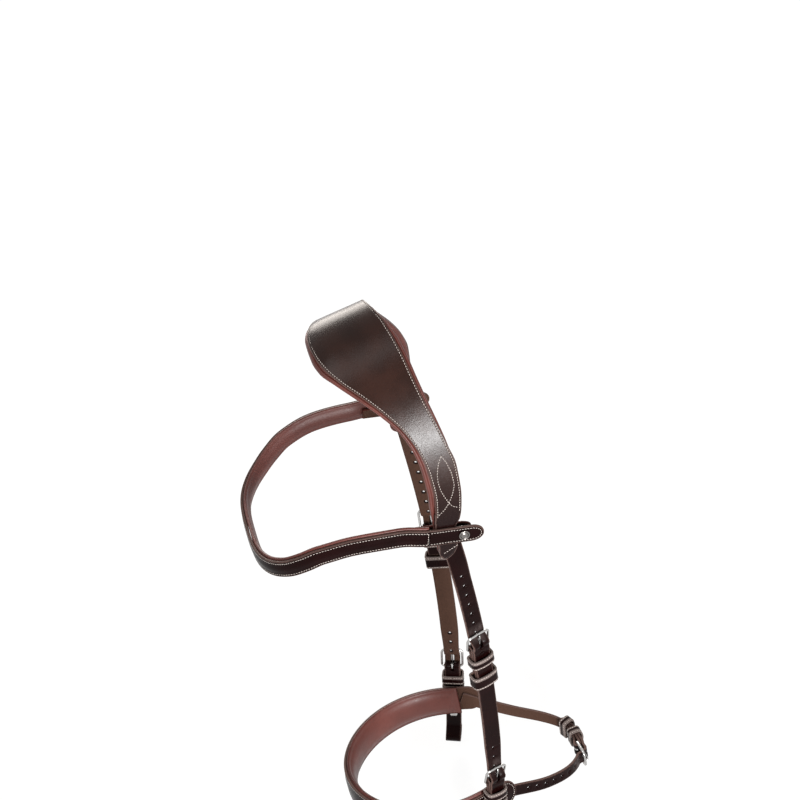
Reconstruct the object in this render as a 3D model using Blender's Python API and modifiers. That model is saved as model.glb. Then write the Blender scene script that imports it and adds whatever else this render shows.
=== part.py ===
"""A horse bridle in metres, +Z up the head, the horse facing -Y, its left cheek at +X.

The origin is under the middle of the crown, where it rests on the poll. Every strap follows one
of a few paths (over the poll, down the cheek, round the forehead, the nose and the jaw), and each
layer of leather lies at its own depth from that path, positive outwards.
"""

import math

import bmesh
import bpy
from mathutils import Matrix, Vector

LEFT, RIGHT = 1, -1
SIDES = (("left", LEFT), ("right", RIGHT))

# Leather and clearances
LEATHER = 0.0024
GAP = 0.0003
FIT = 0.00045
EDGE = 0.0005
EDGE_OVER_DEG = 50.0
CUT_OVERRUN = 0.004
ROLL_SHARE = 0.42
STEP = 0.0001
PLAN_SAMPLES = 360

# Crown
CROWN_REACH = 0.0885
CROWN_RISE = 0.165
CROWN_WIDTH = 0.0645
CROWN_TILT = 0.2
CROWN_PAD = 0.0036
CROWN_PAD_THIN = 0.0016
CROWN_PAD_ROLL = 0.0012
CROWN_END_DROP = 0.022
CROWN_END_ROUND = 0.012
CROWN_END_SKEW = 0.003
CROWN_END_DEG = (14, 40, 63, 86)
POLL_FRONT_SHARE, POLL_REAR_SHARE = -1.07, -0.09
# turn towards the poll, then the front and rear edges, as shares of the crown's width
LEATHER_EDGE_SHARES = (
    (-0.10, -0.186, 0.100), (0.03, -0.178, 0.112), (0.065, -0.163, 0.205), (0.11, -0.124, 0.260),
    (0.18, -0.090, 0.304), (0.26, -0.099, 0.315), (0.33, -0.144, 0.267), (0.42, -0.260, 0.197),
    (0.50, -0.419, 0.132), (0.60, -0.636, 0.073), (0.70, -0.847, 0.031), (0.80, -0.985, -0.015),
    (0.90, -1.050, -0.062), (1.00, POLL_FRONT_SHARE, POLL_REAR_SHARE),
)
PAD_EDGE_SHARES = (
    (-0.10, -0.206, 0.124), (0.03, -0.206, 0.130), (0.065, -0.195, 0.212), (0.11, -0.195, 0.258),
    (0.18, -0.174, 0.300), (0.26, -0.180, 0.310), (0.33, -0.217, 0.285), (0.42, -0.326, 0.233),
    (0.50, -0.488, 0.183), (0.60, -0.713, 0.133), (0.70, -0.915, 0.096), (0.80, -1.062, 0.050),
    (0.90, -1.110, -0.010), (1.00, -1.116, -0.040),
)
CROWN_STATIONS = 20
CROWN_STRIPS = 2
STEP_DOWN_START_SHARE, STEP_DOWN_END_SHARE = 0.20, 0.11

# Straps on the cheek
BILLET_WIDTH = 0.016
CHEEK_WIDTH = 0.0165
BIT_WIDTH = 0.0145
BILLET_LAP = 0.024
CHEEK_LEAD = 0.085
CHEEK_BOW_RADIUS = 1.50
CHEEK_LEAN = 0.045
LEAN_RUN = 0.030
CHEEK_TURN_DEG = 19.0
CHEEK_TURN_START, CHEEK_TURN_END = 0.023, 0.060
PLUMB_START, PLUMB_END = 0.180, 0.300
BILLET_TIP_LENGTH = 0.008
TAPER_RUN = 0.030
LAP_RUNS = 3
# share of the tip's length, then of the strap's width
TIP_SHARES = ((0.55, 0.78), (1.0, 0.22))
# heights above the hinge bar at which the buckled strap bends, as shares of the frame's length
BEND_SHARES = (1.08, 0.95, 0.83, 0.71, 0.60, 0.46, 0.3, 0.1, -0.1, -0.35, -0.60)
HOLE_RADIUS = 0.0012
HOLE_PITCH = 0.0115
JAW_HOLE_PITCH = 0.0092
HOLE_CUT = 0.016
HOLES_ABOVE = 7
HOLES_BELOW = 1
CHEEK_HOLES_ABOVE = 3
JAW_HOLES_ABOVE = 8

# Buckles
WIRE = 0.0014
FRAME_LENGTH = 0.017
FRAME_SPARE = 0.0024
FRAME_CORNER = 0.0035
FRAME_ARCH = 0.0010
TONGUE = 0.0010
TONGUE_REACH = 0.0020
TONGUE_TIP_SHARES = (0.92, 0.75)
TONGUE_WRAP_STEPS = 8
TONGUE_LIFT_DEG = 5.0
TONGUE_WRAP_DEG = 255.0
HUMP_SHARE, HUMP_END_SHARE = 0.41, 0.92
HUMP_RISE = 0.0022
SLOT_CLEAR = 0.0004
FOLD_SLOT_LENGTH = 0.0115
FOLD_RETURN = 0.031
FOLD_WRAP_DEG = 210.0
FOLD_WRAP_STEPS = 8
FOLD_SHARES = (1.0, 0.75, 0.5, 0.26)
UPPER_BAR_DROP = 0.1368
NOSE_HEIGHT_DROP = 0.3440
LOWER_BAR_ABOVE_NOSE = 0.0360
LOWER_BAR_DROP = NOSE_HEIGHT_DROP - LOWER_BAR_ABOVE_NOSE

# Keepers
KEEPER_WALL = 0.0017
KEEPER_CROWN = 0.0008
KEEPER_CORNER = 0.0040
KEEPER_RISE = 0.0010
KEEPER_SPARE = 0.0013
RUNNER_SPARE = 0.0022
RUNNER_RISE = 0.00035
FIXED_KEEPER_LENGTH = 0.0095
RUNNER_LENGTH = 0.0135
KEEPER_BELOW_BAR = 0.0110
RUNNER_BELOW_KEEPER = 0.0118
LOOP_BELOW_KEEPER = 0.0035
LOOP_LENGTH = 0.0130

# Bit end
BIT_LOOP_RADIUS = 0.0080
BIT_SEAT_LENGTH = 0.0060
BIT_BELOW_NOSE = 0.0560
BIT_DROP = NOSE_HEIGHT_DROP + BIT_BELOW_NOSE
BIT_LAP = 0.034
BIT_STUD_ABOVE = 0.016
# turns round the loop, and the end of its flat seat that each is on
BIT_LOOP_DEG = ((20, 1), (50, 1), (75, 1), (90, 1), (90, -1), (105, -1), (130, -1), (160, -1))
STUD_RADIUS = 0.0015
STUD_HEAD = 0.0040
STUD_HEAD_HEIGHT = 0.0012
# shares of the head's radius and height
STUD_HEAD_SHARES = ((1.0, 0.0), (0.85, 0.6), (0.4, 1.0), (0.0, 1.0))
STUD_BACK_SHARE = 0.8

# Browband and its tabs
BROW_REACH = CROWN_REACH
BROW_DEPTH = 0.1545
BROW_SQUARE = 3.2
BROW_WIDTH = 0.0160
BROW_PAD_WIDTH = 0.0186
BROW_PAD = 0.0046
BROW_END = 0.0165
BROW_RISE_RUN = 0.026
BROW_WAVE = 0.0155
# share of the way from the cheek to the forehead's middle, then height as a share of the wave
BROW_WAVE_SHARES = (
    (-0.15, 0.05), (0.00, 0.24), (0.08, 0.46), (0.18, 0.78), (0.37, 1.00), (0.50, 0.72), (0.58, 0.24),
    (0.66, -0.25), (0.76, -0.62), (0.88, -0.82), (1.00, -0.88),
)
BROW_STATIONS = 20
TAB_FALL = 0.20
TAB_BEYOND_SNAP = 0.0165
TAB_ROUND = 0.010
TAB_ROUND_DEG = (29, 52, 72, 85)
UNDER_TAB_LAP = 0.016
UNDER_TAB_WIDTH = 0.0140
CAP_RADIUS = 0.0046
CAP_HEIGHT = 0.0019
# shares of the cap's radius and height
CAP_SHARES = ((1.0, 0.0), (0.97, 0.35), (0.75, 0.8), (0.4, 0.97), (0.0, 1.0))
SHANK_RADIUS = 0.0015
SOCKET_RADIUS = 0.0033
SOCKET_HEIGHT = 0.0028
SOCKET_BORE = 0.0020
SOCKET_DEPTH = 0.0019
STUD_NECK = 0.0016
COLLAR_RADIUS = 0.0029
FLANGE_RADIUS = 0.0040
FLANGE_HEIGHT = 0.0009
FLANGE_BACK_SHARE = 0.85
BALL_TOP_SHARE = 0.6

# Noseband and jaw straps
NOSE_WIDTH = 0.0300
NOSE_PAD_WIDTH = 0.0336
NOSE_FRONT_WIDTH = 0.0340
NOSE_PAD = 0.0060
NOSE_REACH = 0.118
NOSE_HANDLE, NOSE_FRONT_HANDLE = 0.070, 0.045
NOSE_CLEAR = 0.0007
NOSE_STATIONS = 16
NOSE_TAIL = 0.027
NOSE_TAIL_ROUND = 0.012
NOSE_TAIL_DEG = (83, 63, 34)
JAW_WIDTH = 0.0130
JAW_REACH = 0.100
JAW_HANDLE, JAW_REAR_HANDLE = 0.068, 0.040
JAW_DROP = 0.037
JAW_RAISE = 0.0055
# share of the way from the cheek to the jaw's middle, then the share of the drop
JAW_DROP_SHARES = ((0.0, 0.0), (0.2, 0.3), (0.5, 0.75), (0.75, 0.94), (1.0, 1.0))
JAW_START = 0.0090
PAD_PAST_CHEEK = 0.0060
JAW_STATIONS = 26
JAW_LAP = 0.040
JAW_KEEPER_LENGTH = 0.0080
JAW_KEEPER_BELOW = 0.0115
JAW_RUNNER_BELOW = 0.0060

# Layers, as depths of each piece's middle from its path
CROWN_LEATHER_AT = GAP / 2 + LEATHER / 2
CROWN_PAD_AT = -GAP / 2 - CROWN_PAD / 2
BILLET_AT = -GAP / 2 - LEATHER / 2
PAD_END_AT = -GAP / 2 - LEATHER - GAP - CROWN_PAD_THIN / 2
TAB_AT = GAP / 2 + LEATHER + GAP + LEATHER / 2
UNDER_TAB_AT = PAD_END_AT - CROWN_PAD_THIN / 2 - FIT - GAP - LEATHER / 2
LAYER = LEATHER + GAP
BAR_AT = BILLET_AT - LAYER / 2
RETURN_AT = BILLET_AT - LAYER
FOLD_RADIUS = WIRE + GAP / 2 + LEATHER / 2
OVER_BAR_AT = BAR_AT + FOLD_RADIUS + LAYER
OVER_STRAP_AT = BILLET_AT + LAYER
LOOP_INNER = RETURN_AT - LEATHER / 2 - FIT
NOSE_LEATHER_AT = LOOP_INNER - KEEPER_WALL - GAP - NOSE_CLEAR - LEATHER / 2
NOSE_PAD_AT = NOSE_LEATHER_AT - LAYER / 2 - NOSE_PAD / 2
JAW_AT = NOSE_LEATHER_AT - LAYER
POLL_SEAT = Vector((
    0.0, CROWN_WIDTH * (POLL_FRONT_SHARE + POLL_REAR_SHARE) / 2, CROWN_RISE - GAP / 2 - CROWN_PAD,
))

FINISHES = {
    "crown_leather": ((0.085, 0.040, 0.034), 0.38, 0.0),
    "lining_leather": ((0.30, 0.105, 0.075), 0.55, 0.0),
    "strap_leather": ((0.075, 0.036, 0.031), 0.42, 0.0),
    "keeper_leather": ((0.070, 0.034, 0.030), 0.45, 0.0),
    "hardware": ((0.78, 0.77, 0.76), 0.18, 1.0),
}


def clear_scene():
    for item in list(bpy.data.objects):
        bpy.data.objects.remove(item, do_unlink=True)


def new_collection(name):
    made = bpy.data.collections.new(name)
    bpy.context.scene.collection.children.link(made)
    return made


def finish_material(name, finish):
    """One Principled material for each piece, in the colour and gloss of its kind."""
    colour, roughness, metallic = FINISHES[finish]
    material = bpy.data.materials.new(name)
    material.use_nodes = True
    shader = material.node_tree.nodes["Principled BSDF"]
    shader.inputs["Base Color"].default_value = (*colour, 1.0)
    shader.inputs["Roughness"].default_value = roughness
    shader.inputs["Metallic"].default_value = metallic
    return material


class Workshop:
    """Makes the objects and files them under the bridle's or the cutters' collection."""

    def __init__(self):
        self.pieces = new_collection("bridle")
        self.cutters = new_collection("cutters")
        self.cutters.hide_render = True

    def add(self, name, data, finish, origin=None):
        item = bpy.data.objects.new(name, data)
        self.pieces.objects.link(item)
        data.materials.append(finish_material(name, finish))
        if origin is not None:
            data.transform(Matrix.Translation(-origin))
            item.location = origin
        return item

    def cutter(self, name, mesh, origin=None):
        item = bpy.data.objects.new(name, mesh)
        self.cutters.objects.link(item)
        item.display_type = "WIRE"
        item.hide_render = True
        if origin is not None:
            item.location = origin
        return item


def mesh_from(name, bm):
    mesh = bpy.data.meshes.new(name)
    bm.to_mesh(mesh)
    bm.free()
    return mesh


def shade_smooth(item):
    for polygon in item.data.polygons:
        polygon.use_smooth = True


def cut(item, cutter):
    """Takes the cutter's solid out of the item with an exact Boolean."""
    made = item.modifiers.new("cut_" + cutter.name, "BOOLEAN")
    made.operation = "DIFFERENCE"
    made.solver = "EXACT"
    made.object = cutter


def read_table(table, at):
    """Reads each column of a table at a place along its first column, smoothly and with no overshoot."""
    keys = [row[0] for row in table]
    at = min(max(at, keys[0]), keys[-1])
    last = len(keys) - 1
    i = min(max(k for k in range(len(keys)) if keys[k] <= at), last - 1)
    width = keys[i + 1] - keys[i]
    share = (at - keys[i]) / width
    values = []
    for column in range(1, len(table[0])):
        rise = [
            (table[k + 1][column] - table[k][column]) / (keys[k + 1] - keys[k]) for k in range(last)
        ]
        slopes = []
        for k in (i, i + 1):
            if k == 0 or k == last or rise[k - 1] * rise[k] <= 0:
                slopes.append(0.0)
            else:
                slopes.append(2 * rise[k - 1] * rise[k] / (rise[k - 1] + rise[k]))
        low, high = table[i][column], table[i + 1][column]
        square, cube = share**2, share**3
        values.append(
            low * (2 * cube - 3 * square + 1) + high * (3 * square - 2 * cube)
            + width * (slopes[0] * (cube - 2 * square + share) + slopes[1] * (cube - square))
        )
    return values


def smooth_step(value, start, end):
    """0 before start, 1 after end, an even S between them."""
    share = min(max((value - start) / (end - start), 0.0), 1.0)
    return share * share * (3 - 2 * share)


def eased_run(value, start, end):
    """How far a slope that grows from nothing to one between start and end has climbed."""
    if value <= start:
        return 0.0
    if value < end:
        return (value - start) ** 2 / (2 * (end - start))
    return value - (start + end) / 2


def placed(x, y, z, side=LEFT):
    """A point measured from the cheek line, on one side, as the record gives it."""
    return Vector((x * side, y, z)) - POLL_SEAT


class Frame:
    """A point of a path with its directions: along it, across the strap, and out of the horse."""

    def __init__(self, point, along, across, out):
        self.point, self.along, self.across, self.out = point, along, across, out

    def at(self, depth=0.0, across=0.0, along=0.0):
        return self.point + self.out * depth + self.across * across + self.along * along

    def matrix(self, depth=0.0, across=0.0):
        """Local X across the strap, Y out, Z along, always right-handed."""
        third = self.across.cross(self.out)
        turn = Matrix((self.across, self.out, third)).transposed().to_4x4()
        return Matrix.Translation(self.at(depth, across)) @ turn


class CheekPath:
    """Down the cheek: a place is the drop below the browband line, and above it the crown's curve."""

    def __init__(self, side):
        self.side = side

    def spot(self, drop):
        if drop <= 0:
            x = CROWN_REACH * math.sqrt(1 - (drop / CROWN_RISE) ** 2)
        else:
            lean = eased_run(drop, 0.0, LEAN_RUN) - eased_run(drop, PLUMB_START, PLUMB_END)
            x = CROWN_REACH - CHEEK_LEAN * lean
        held = max(drop, 0.0)
        y = CHEEK_LEAD * held - held * held / (2 * CHEEK_BOW_RADIUS)
        return placed(x, y, -drop, self.side)

    def frame(self, drop):
        along = (self.spot(drop + STEP) - self.spot(drop - STEP)).normalized()
        turn = math.radians(CHEEK_TURN_DEG) * smooth_step(drop, CHEEK_TURN_START, CHEEK_TURN_END)
        outward = Vector((self.side * math.cos(turn), math.sin(turn), 0.0))
        out = (outward - along * outward.dot(along)).normalized()
        across = out.cross(along) * self.side
        return Frame(self.spot(drop), along, across, out)


def squared_half(reach, depth, square):
    """Plan of half a ring round the forehead: a squared ellipse from the cheek line to the middle."""
    spots = []
    for i in range(PLAN_SAMPLES + 1):
        angle = math.pi / 2 * i / PLAN_SAMPLES
        spots.append((
            reach * abs(math.cos(angle)) ** (2 / square), -depth * abs(math.sin(angle)) ** (2 / square),
        ))
    return spots


def bent_half(start, heading, reach, handle, end_handle):
    """Plan of half a ring: one bent line from a strap on the cheek, square to the middle at its end."""
    knots = (
        start, (start[0] + heading[0] * handle, start[1] + heading[1] * handle),
        (end_handle, start[1] + reach), (0.0, start[1] + reach),
    )
    spots = []
    for i in range(PLAN_SAMPLES + 1):
        t = i / PLAN_SAMPLES
        shares = ((1 - t) ** 3, 3 * t * (1 - t) ** 2, 3 * t * t * (1 - t), t**3)
        spots.append(tuple(sum(share * knot[n] for share, knot in zip(shares, knots)) for n in (0, 1)))
    return spots


class LevelPath:
    """Round the head at one level: a place is the length from the cheek line, to the middle and on."""

    def __init__(self, half, height, ahead=-1):
        self.height, self.ahead = height, ahead
        self.spots = half + [(-x, y) for x, y in reversed(half[:-1])]
        self.lengths = [0.0]
        for (x0, y0), (x1, y1) in zip(self.spots, self.spots[1:]):
            self.lengths.append(self.lengths[-1] + math.hypot(x1 - x0, y1 - y0))
        self.half = self.lengths[-1] / 2

    def spot(self, length):
        low, high = 0, len(self.spots) - 1
        while high - low > 1:
            middle = (low + high) // 2
            if self.lengths[middle] <= length:
                low = middle
            else:
                high = middle
        share = (length - self.lengths[low]) / (self.lengths[high] - self.lengths[low])
        x = self.spots[low][0] + share * (self.spots[high][0] - self.spots[low][0])
        y = self.spots[low][1] + share * (self.spots[high][1] - self.spots[low][1])
        return x, y, self.height(min(length, self.lengths[-1] - length), self.half)

    def frame(self, length, side=LEFT):
        here = placed(*self.spot(length), side)
        wide = self.half / PLAN_SAMPLES
        along = (placed(*self.spot(length + wide), side) - placed(*self.spot(length - wide), side))
        along.normalize()
        flat = Vector((along.x, along.y, 0.0)).normalized()
        out = Vector((flat.y, -flat.x, 0.0)) * (side * self.ahead)
        across = along.cross(out)
        if across.z < 0:
            across.negate()
        return Frame(here, along, across, out)


def brow_height(length, half):
    return BROW_WAVE * read_table(BROW_WAVE_SHARES, length / half)[0]


def tab_height(length):
    """The tabs run straight on from the browband's end, falling to the rear."""
    start = brow_height(BROW_END, BROW_HALF)
    return start + TAB_FALL * (length - BROW_END)


def jaw_height(length, half):
    return JAW_RAISE - NOSE_HEIGHT_DROP - JAW_DROP * read_table(JAW_DROP_SHARES, length / half)[0]


def nose_height(length, half):
    return -NOSE_HEIGHT_DROP


def ring_half(depth, ahead, reach, handle, end_handle):
    """Half a ring that leaves the cheek strap's line at a depth, in the strap's own plane."""
    frame = CheekPath(LEFT).frame(NOSE_HEIGHT_DROP)
    start = frame.at(depth) + POLL_SEAT
    heading = Vector((frame.across.x, frame.across.y)).normalized() * ahead
    return bent_half((start.x, start.y), heading, ahead * reach, handle, end_handle)


BROW = LevelPath(squared_half(BROW_REACH, BROW_DEPTH, BROW_SQUARE), brow_height)
BROW_HALF = BROW.half
NOSE = LevelPath(
    ring_half(NOSE_LEATHER_AT, -1, NOSE_REACH, NOSE_HANDLE, NOSE_FRONT_HANDLE), nose_height,
)
JAW = LevelPath(ring_half(JAW_AT, 1, JAW_REACH, JAW_HANDLE, JAW_REAR_HANDLE), jaw_height, ahead=1)


def ribbon(shop, name, rows, thickness, finish, weights=None, edge=EDGE, rounds=1, origin=None, half=False):
    """A strap: a grid laid on rows of points, given its thickness both ways and rounded edges."""
    bm = bmesh.new()
    across = len(rows[0])
    bmesh.ops.create_grid(bm, x_segments=across - 1, y_segments=len(rows) - 1, size=1.0)
    bm.verts.ensure_lookup_table()
    for i, row in enumerate(rows):
        for j, point in enumerate(row):
            bm.verts[i * across + j].co = point
    item = shop.add(name, mesh_from(name, bm), finish, origin)
    if half:
        mirror = item.modifiers.new("other_half", "MIRROR")
        mirror.use_axis = (True, False, False)
        mirror.merge_threshold = STEP
    wall = item.modifiers.new("thickness", "SOLIDIFY")
    wall.thickness = thickness
    wall.offset = 0.0
    if weights:
        group = item.vertex_groups.new(name="thickness_share")
        for i, weight in enumerate(weights):
            group.add([i * across + j for j in range(across)], weight, "REPLACE")
        wall.vertex_group = group.name
    soft = item.modifiers.new("soft_edge", "BEVEL")
    soft.width = edge
    soft.segments = rounds
    soft.limit_method = "ANGLE"
    soft.angle_limit = math.radians(EDGE_OVER_DEG)
    soft.use_clamp_overlap = True
    shade_smooth(item)
    return item


def strap_rows(points, half_width, strips=1):
    """Rows across a strap from (frame, depth, along, half width share) places."""
    rows = []
    for frame, depth, along, share in points:
        row = []
        for j in range(strips + 1):
            row.append(frame.at(depth, half_width * share * (2 * j / strips - 1), along))
        rows.append(row)
    return rows


def wire(shop, name, points, radius, finish, cyclic=False, origin=None, radii=None, sides=1):
    """A round rod along points."""
    curve = bpy.data.curves.new(name, "CURVE")
    curve.dimensions = "3D"
    curve.bevel_depth = radius
    curve.bevel_resolution = sides
    curve.use_fill_caps = True
    spline = curve.splines.new("POLY")
    spline.points.add(len(points) - 1)
    for i, (place, point) in enumerate(zip(spline.points, points)):
        place.co = (*point, 1.0)
        place.radius = radii[i] if radii else 1.0
    spline.use_cyclic_u = cyclic
    spline.use_smooth = True
    return shop.add(name, curve, finish, origin)


def rounded_outline(low, high, corner, crown, steps=3):
    """A rectangle's outline with round corners and a slightly bowed outer side."""
    points = []
    for (sx, sy) in ((1, 1), (-1, 1), (-1, -1), (1, -1)):
        radius = corner if sy > 0 else corner / 2
        cx = (high[0] if sx > 0 else low[0]) - sx * radius
        cy = (high[1] if sy > 0 else low[1]) - sy * radius
        start = math.atan2(sy, sx) - math.pi / 4
        for i in range(steps):
            angle = start + (math.pi / 2) * i / (steps - 1)
            points.append([cx + radius * math.cos(angle), cy + radius * math.sin(angle)])
        if (sx, sy) == (1, 1):
            points.append([(low[0] + high[0]) / 2, high[1] + crown])
    return points


def keeper(shop, name, frame, half_width, length, rise=KEEPER_RISE):
    """A leather loop round the straps: its outline with the opening in it, as long as it is wide."""
    curve = bpy.data.curves.new(name, "CURVE")
    curve.dimensions = "2D"
    curve.fill_mode = "BOTH"
    curve.extrude = length / 2 - EDGE
    curve.bevel_depth = EDGE
    curve.bevel_resolution = 0
    wide, wall = half_width, KEEPER_WALL
    inner, outer = LOOP_INNER, OVER_STRAP_AT + LEATHER / 2 + rise
    reach = wall - EDGE
    shapes = (
        rounded_outline(
            (-wide - reach, inner - reach), (wide + reach, outer + reach), KEEPER_CORNER, KEEPER_CROWN,
        ),
        rounded_outline(
            (-wide - EDGE, inner - EDGE), (wide + EDGE, outer + EDGE), KEEPER_CORNER - wall / 2,
            KEEPER_CROWN,
        ),
    )
    for shape in shapes:
        spline = curve.splines.new("POLY")
        spline.points.add(len(shape) - 1)
        for place, (x, y) in zip(spline.points, shape):
            place.co = (x, y, 0.0, 1.0)
        spline.use_cyclic_u = True
    item = shop.add(name, curve, "keeper_leather")
    item.matrix_world = frame.matrix()
    return item


def turned(shop, name, profile, frame, finish, steps=16):
    """A round piece from its profile (radius, height), standing along the frame's outward direction."""
    bm = bmesh.new()
    made = [bm.verts.new((radius, 0.0, height)) for radius, height in reversed(profile)]
    for first, second in zip(made, made[1:]):
        bm.edges.new((first, second))
    item = shop.add(name, mesh_from(name, bm), finish)
    screw = item.modifiers.new("turned", "SCREW")
    screw.axis = "Z"
    screw.angle = 2 * math.pi
    screw.steps = steps
    screw.render_steps = steps
    screw.use_merge_vertices = True
    screw.merge_threshold = STEP / 10
    screw.use_smooth_shade = True
    turn = Vector((0.0, 0.0, 1.0)).rotation_difference(frame.out).to_matrix().to_4x4()
    item.matrix_world = Matrix.Translation(frame.point) @ turn
    return item


def round_cutter(shop, name, places, depth, segments=8):
    """Round or slotted holes through a strap: each place is (frame, depth, radius, slot length)."""
    bm = bmesh.new()
    for frame, at, radius, slot in places:
        made = bmesh.ops.create_cone(
            bm, cap_ends=True, segments=segments, radius1=radius, radius2=radius, depth=depth,
            matrix=Matrix.Rotation(math.pi / segments, 4, "Z"),
        )["verts"]
        for vert in made:
            shift = math.copysign(slot / 2, vert.co.x)
            x = vert.co.x + shift
            vert.co = frame.at(at + vert.co.z, vert.co.y, x)
    bm.normal_update()
    bmesh.ops.recalc_face_normals(bm, faces=bm.faces)
    return shop.cutter(name, mesh_from(name, bm))


def box_cutter(shop, name, frame, at, size):
    """A box through a fold: size is its length along, across and through."""
    bm = bmesh.new()
    bmesh.ops.create_cube(bm, size=1.0)
    for vert in bm.verts:
        x, y, z = vert.co.x * size[0], vert.co.y * size[1], vert.co.z * size[2]
        vert.co = frame.at(at + z, y, x)
    bm.normal_update()
    bmesh.ops.recalc_face_normals(bm, faces=bm.faces)
    return shop.cutter(name, mesh_from(name, bm))


# Crown


def crown_profile(turn):
    """The crown's curve over the poll: the point and the outward direction at a share of the turn."""
    if turn < 0:
        drop = -turn * CROWN_RISE * math.pi / 2
        path = CheekPath(LEFT)
        point, next_point = path.spot(drop), path.spot(drop - STEP)
        along = (next_point - point).normalized()
        point = point + POLL_SEAT
        return point.x, point.z, along.z, -along.x
    angle = turn * math.pi / 2
    x, z = CROWN_REACH * math.cos(angle), CROWN_RISE * math.sin(angle)
    nx, nz = math.cos(angle) / CROWN_REACH, math.sin(angle) / CROWN_RISE
    size = math.hypot(nx, nz)
    return x, z, nx / size, nz / size


def crown_point(turn, y, depth):
    x, z, nx, nz = crown_profile(turn)
    lift = CROWN_TILT * (y - POLL_SEAT.y) * max(math.sin(turn * math.pi / 2), 0.0) ** 2
    return placed(x + nx * depth, y, z + nz * depth + lift)


def crown_turns():
    """Stations from the rounded end up to the poll, closer together at the end."""
    end = -CROWN_END_DROP / (CROWN_RISE * math.pi / 2)
    round_share = CROWN_END_ROUND / CROWN_END_DROP
    end_turns = [end * (1 - round_share * (1 - math.cos(math.radians(turn)))) for turn in CROWN_END_DEG]
    rest = CROWN_STATIONS - len(end_turns)
    return end_turns, [i / (rest - 1) for i in range(rest)]


def crown_rows(table, depth_of):
    """Rows of the crown's half, from its rounded end to the poll."""
    end_turns, turns = crown_turns()
    end = -CROWN_END_DROP / (CROWN_RISE * math.pi / 2)
    start = end * (1 - CROWN_END_ROUND / CROWN_END_DROP)
    rows, places = [], []
    for turn in end_turns + turns:
        front, rear = (CROWN_WIDTH * share for share in read_table(table, turn))
        if turn < start:
            part = min((turn - start) / (end - start), 1.0)
            middle, half = (front + rear) / 2 - CROWN_END_SKEW * part, (rear - front) / 2
            half *= math.sqrt(1 - part * part)
            front, rear = middle - half, middle + half
        depth = depth_of(turn)
        row = []
        for j in range(CROWN_STRIPS + 1):
            y = front + (rear - front) * j / CROWN_STRIPS
            row.append(crown_point(turn, y, depth))
        if turn == 1.0:
            for point in row:
                point.x = 0.0
        rows.append(row)
        places.append(turn)
    return rows, places


def pad_thin(turn):
    """1 where the lining is thin over the billet, 0 where it is full."""
    return smooth_step(-turn, -STEP_DOWN_START_SHARE, -STEP_DOWN_END_SHARE)


def pad_depth(turn):
    return CROWN_PAD_AT + (PAD_END_AT - CROWN_PAD_AT) * pad_thin(turn)


def pad_weight(turn):
    return 1 + (CROWN_PAD_THIN / CROWN_PAD - 1) * pad_thin(turn)


def make_crown(shop):
    rows, _ = crown_rows(LEATHER_EDGE_SHARES, lambda turn: CROWN_LEATHER_AT)
    ribbon(shop, "crown_leather", rows, LEATHER, "crown_leather", half=True)
    rows, turns = crown_rows(PAD_EDGE_SHARES, pad_depth)
    ribbon(
        shop, "crown_lining", rows, CROWN_PAD, "lining_leather", weights=[pad_weight(t) for t in turns],
        edge=CROWN_PAD_ROLL, rounds=2, half=True,
    )


# Buckled straps


def billet_depth(before_bar):
    """How deep the buckled strap's middle lies at a distance above (+) or below (-) the hinge bar."""
    rows = (
        (-FIXED_KEEPER_LENGTH, OVER_STRAP_AT), (-WIRE, OVER_BAR_AT), (WIRE, OVER_BAR_AT),
        (FRAME_LENGTH * HUMP_SHARE, OVER_BAR_AT + HUMP_RISE), (FRAME_LENGTH * HUMP_END_SHARE, BILLET_AT),
    )
    return read_table(rows, before_bar)[0]


def frame_tilt():
    """The angle at which the top bar just clears the strap that passes under it."""
    clear = WIRE + GAP + LEATHER / 2
    rise = BILLET_AT + clear - BAR_AT
    return math.asin(rise / FRAME_LENGTH)


class Buckle:
    """Where a buckle's hinge bar sits on a path, and the plane that its frame lies in."""

    def __init__(self, path_frame, bar_place, forward=1):
        here = path_frame(bar_place)
        up = -here.along * forward
        tilt = frame_tilt()
        self.bar = here.at(BAR_AT)
        self.up = up * math.cos(tilt) + here.out * math.sin(tilt)
        self.out = here.out * math.cos(tilt) - up * math.sin(tilt)
        self.across = here.across

    def at(self, up, height=0.0, across=0.0):
        return self.bar + self.up * up + self.out * height + self.across * across


def make_buckle(shop, name, buckle, width):
    """The frame: a rounded wire rectangle whose near side is the hinge bar and whose far side arches."""
    half = (width + FRAME_SPARE) / 2 + WIRE
    corners = ((half, FRAME_LENGTH), (-half, FRAME_LENGTH), (-half, 0.0), (half, 0.0))
    points = []
    for across, up in corners:
        sx, sy = math.copysign(1, across), 1 if up else -1
        cx, cy = across - sx * FRAME_CORNER, up - sy * FRAME_CORNER
        if not up:
            cx, cy = across - sx * WIRE, up + WIRE
        corner = FRAME_CORNER if up else WIRE
        start = math.atan2(sy, sx) - math.pi / 4
        for i in range(3 if up else 2):
            angle = start + (math.pi / 2) * i / (2 if up else 1)
            points.append(buckle.at(cy + corner * math.sin(angle), 0.0, cx + corner * math.cos(angle)))
        if sx > 0 and up:
            points.append(buckle.at(FRAME_LENGTH + FRAME_ARCH, 0.0, 0.0))
    wire(shop, name, points, WIRE, "hardware", cyclic=True)


def tongue_line():
    """The tongue in its buckle's plane: round the hinge bar, then up over the top bar."""
    ring = WIRE + GAP / 2 + TONGUE
    rest = WIRE + GAP + TONGUE
    line = []
    for i in range(TONGUE_WRAP_STEPS + 1):
        angle = math.radians(TONGUE_WRAP_DEG) * (1 - i / TONGUE_WRAP_STEPS)
        line.append((-ring * math.sin(angle), ring * math.cos(angle)))
    line.append((FRAME_LENGTH / 2, (ring + rest) / 2))
    line.append((FRAME_LENGTH + FRAME_ARCH, rest))
    line.append((FRAME_LENGTH + TONGUE_REACH, rest - GAP / 2))
    return line


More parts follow.
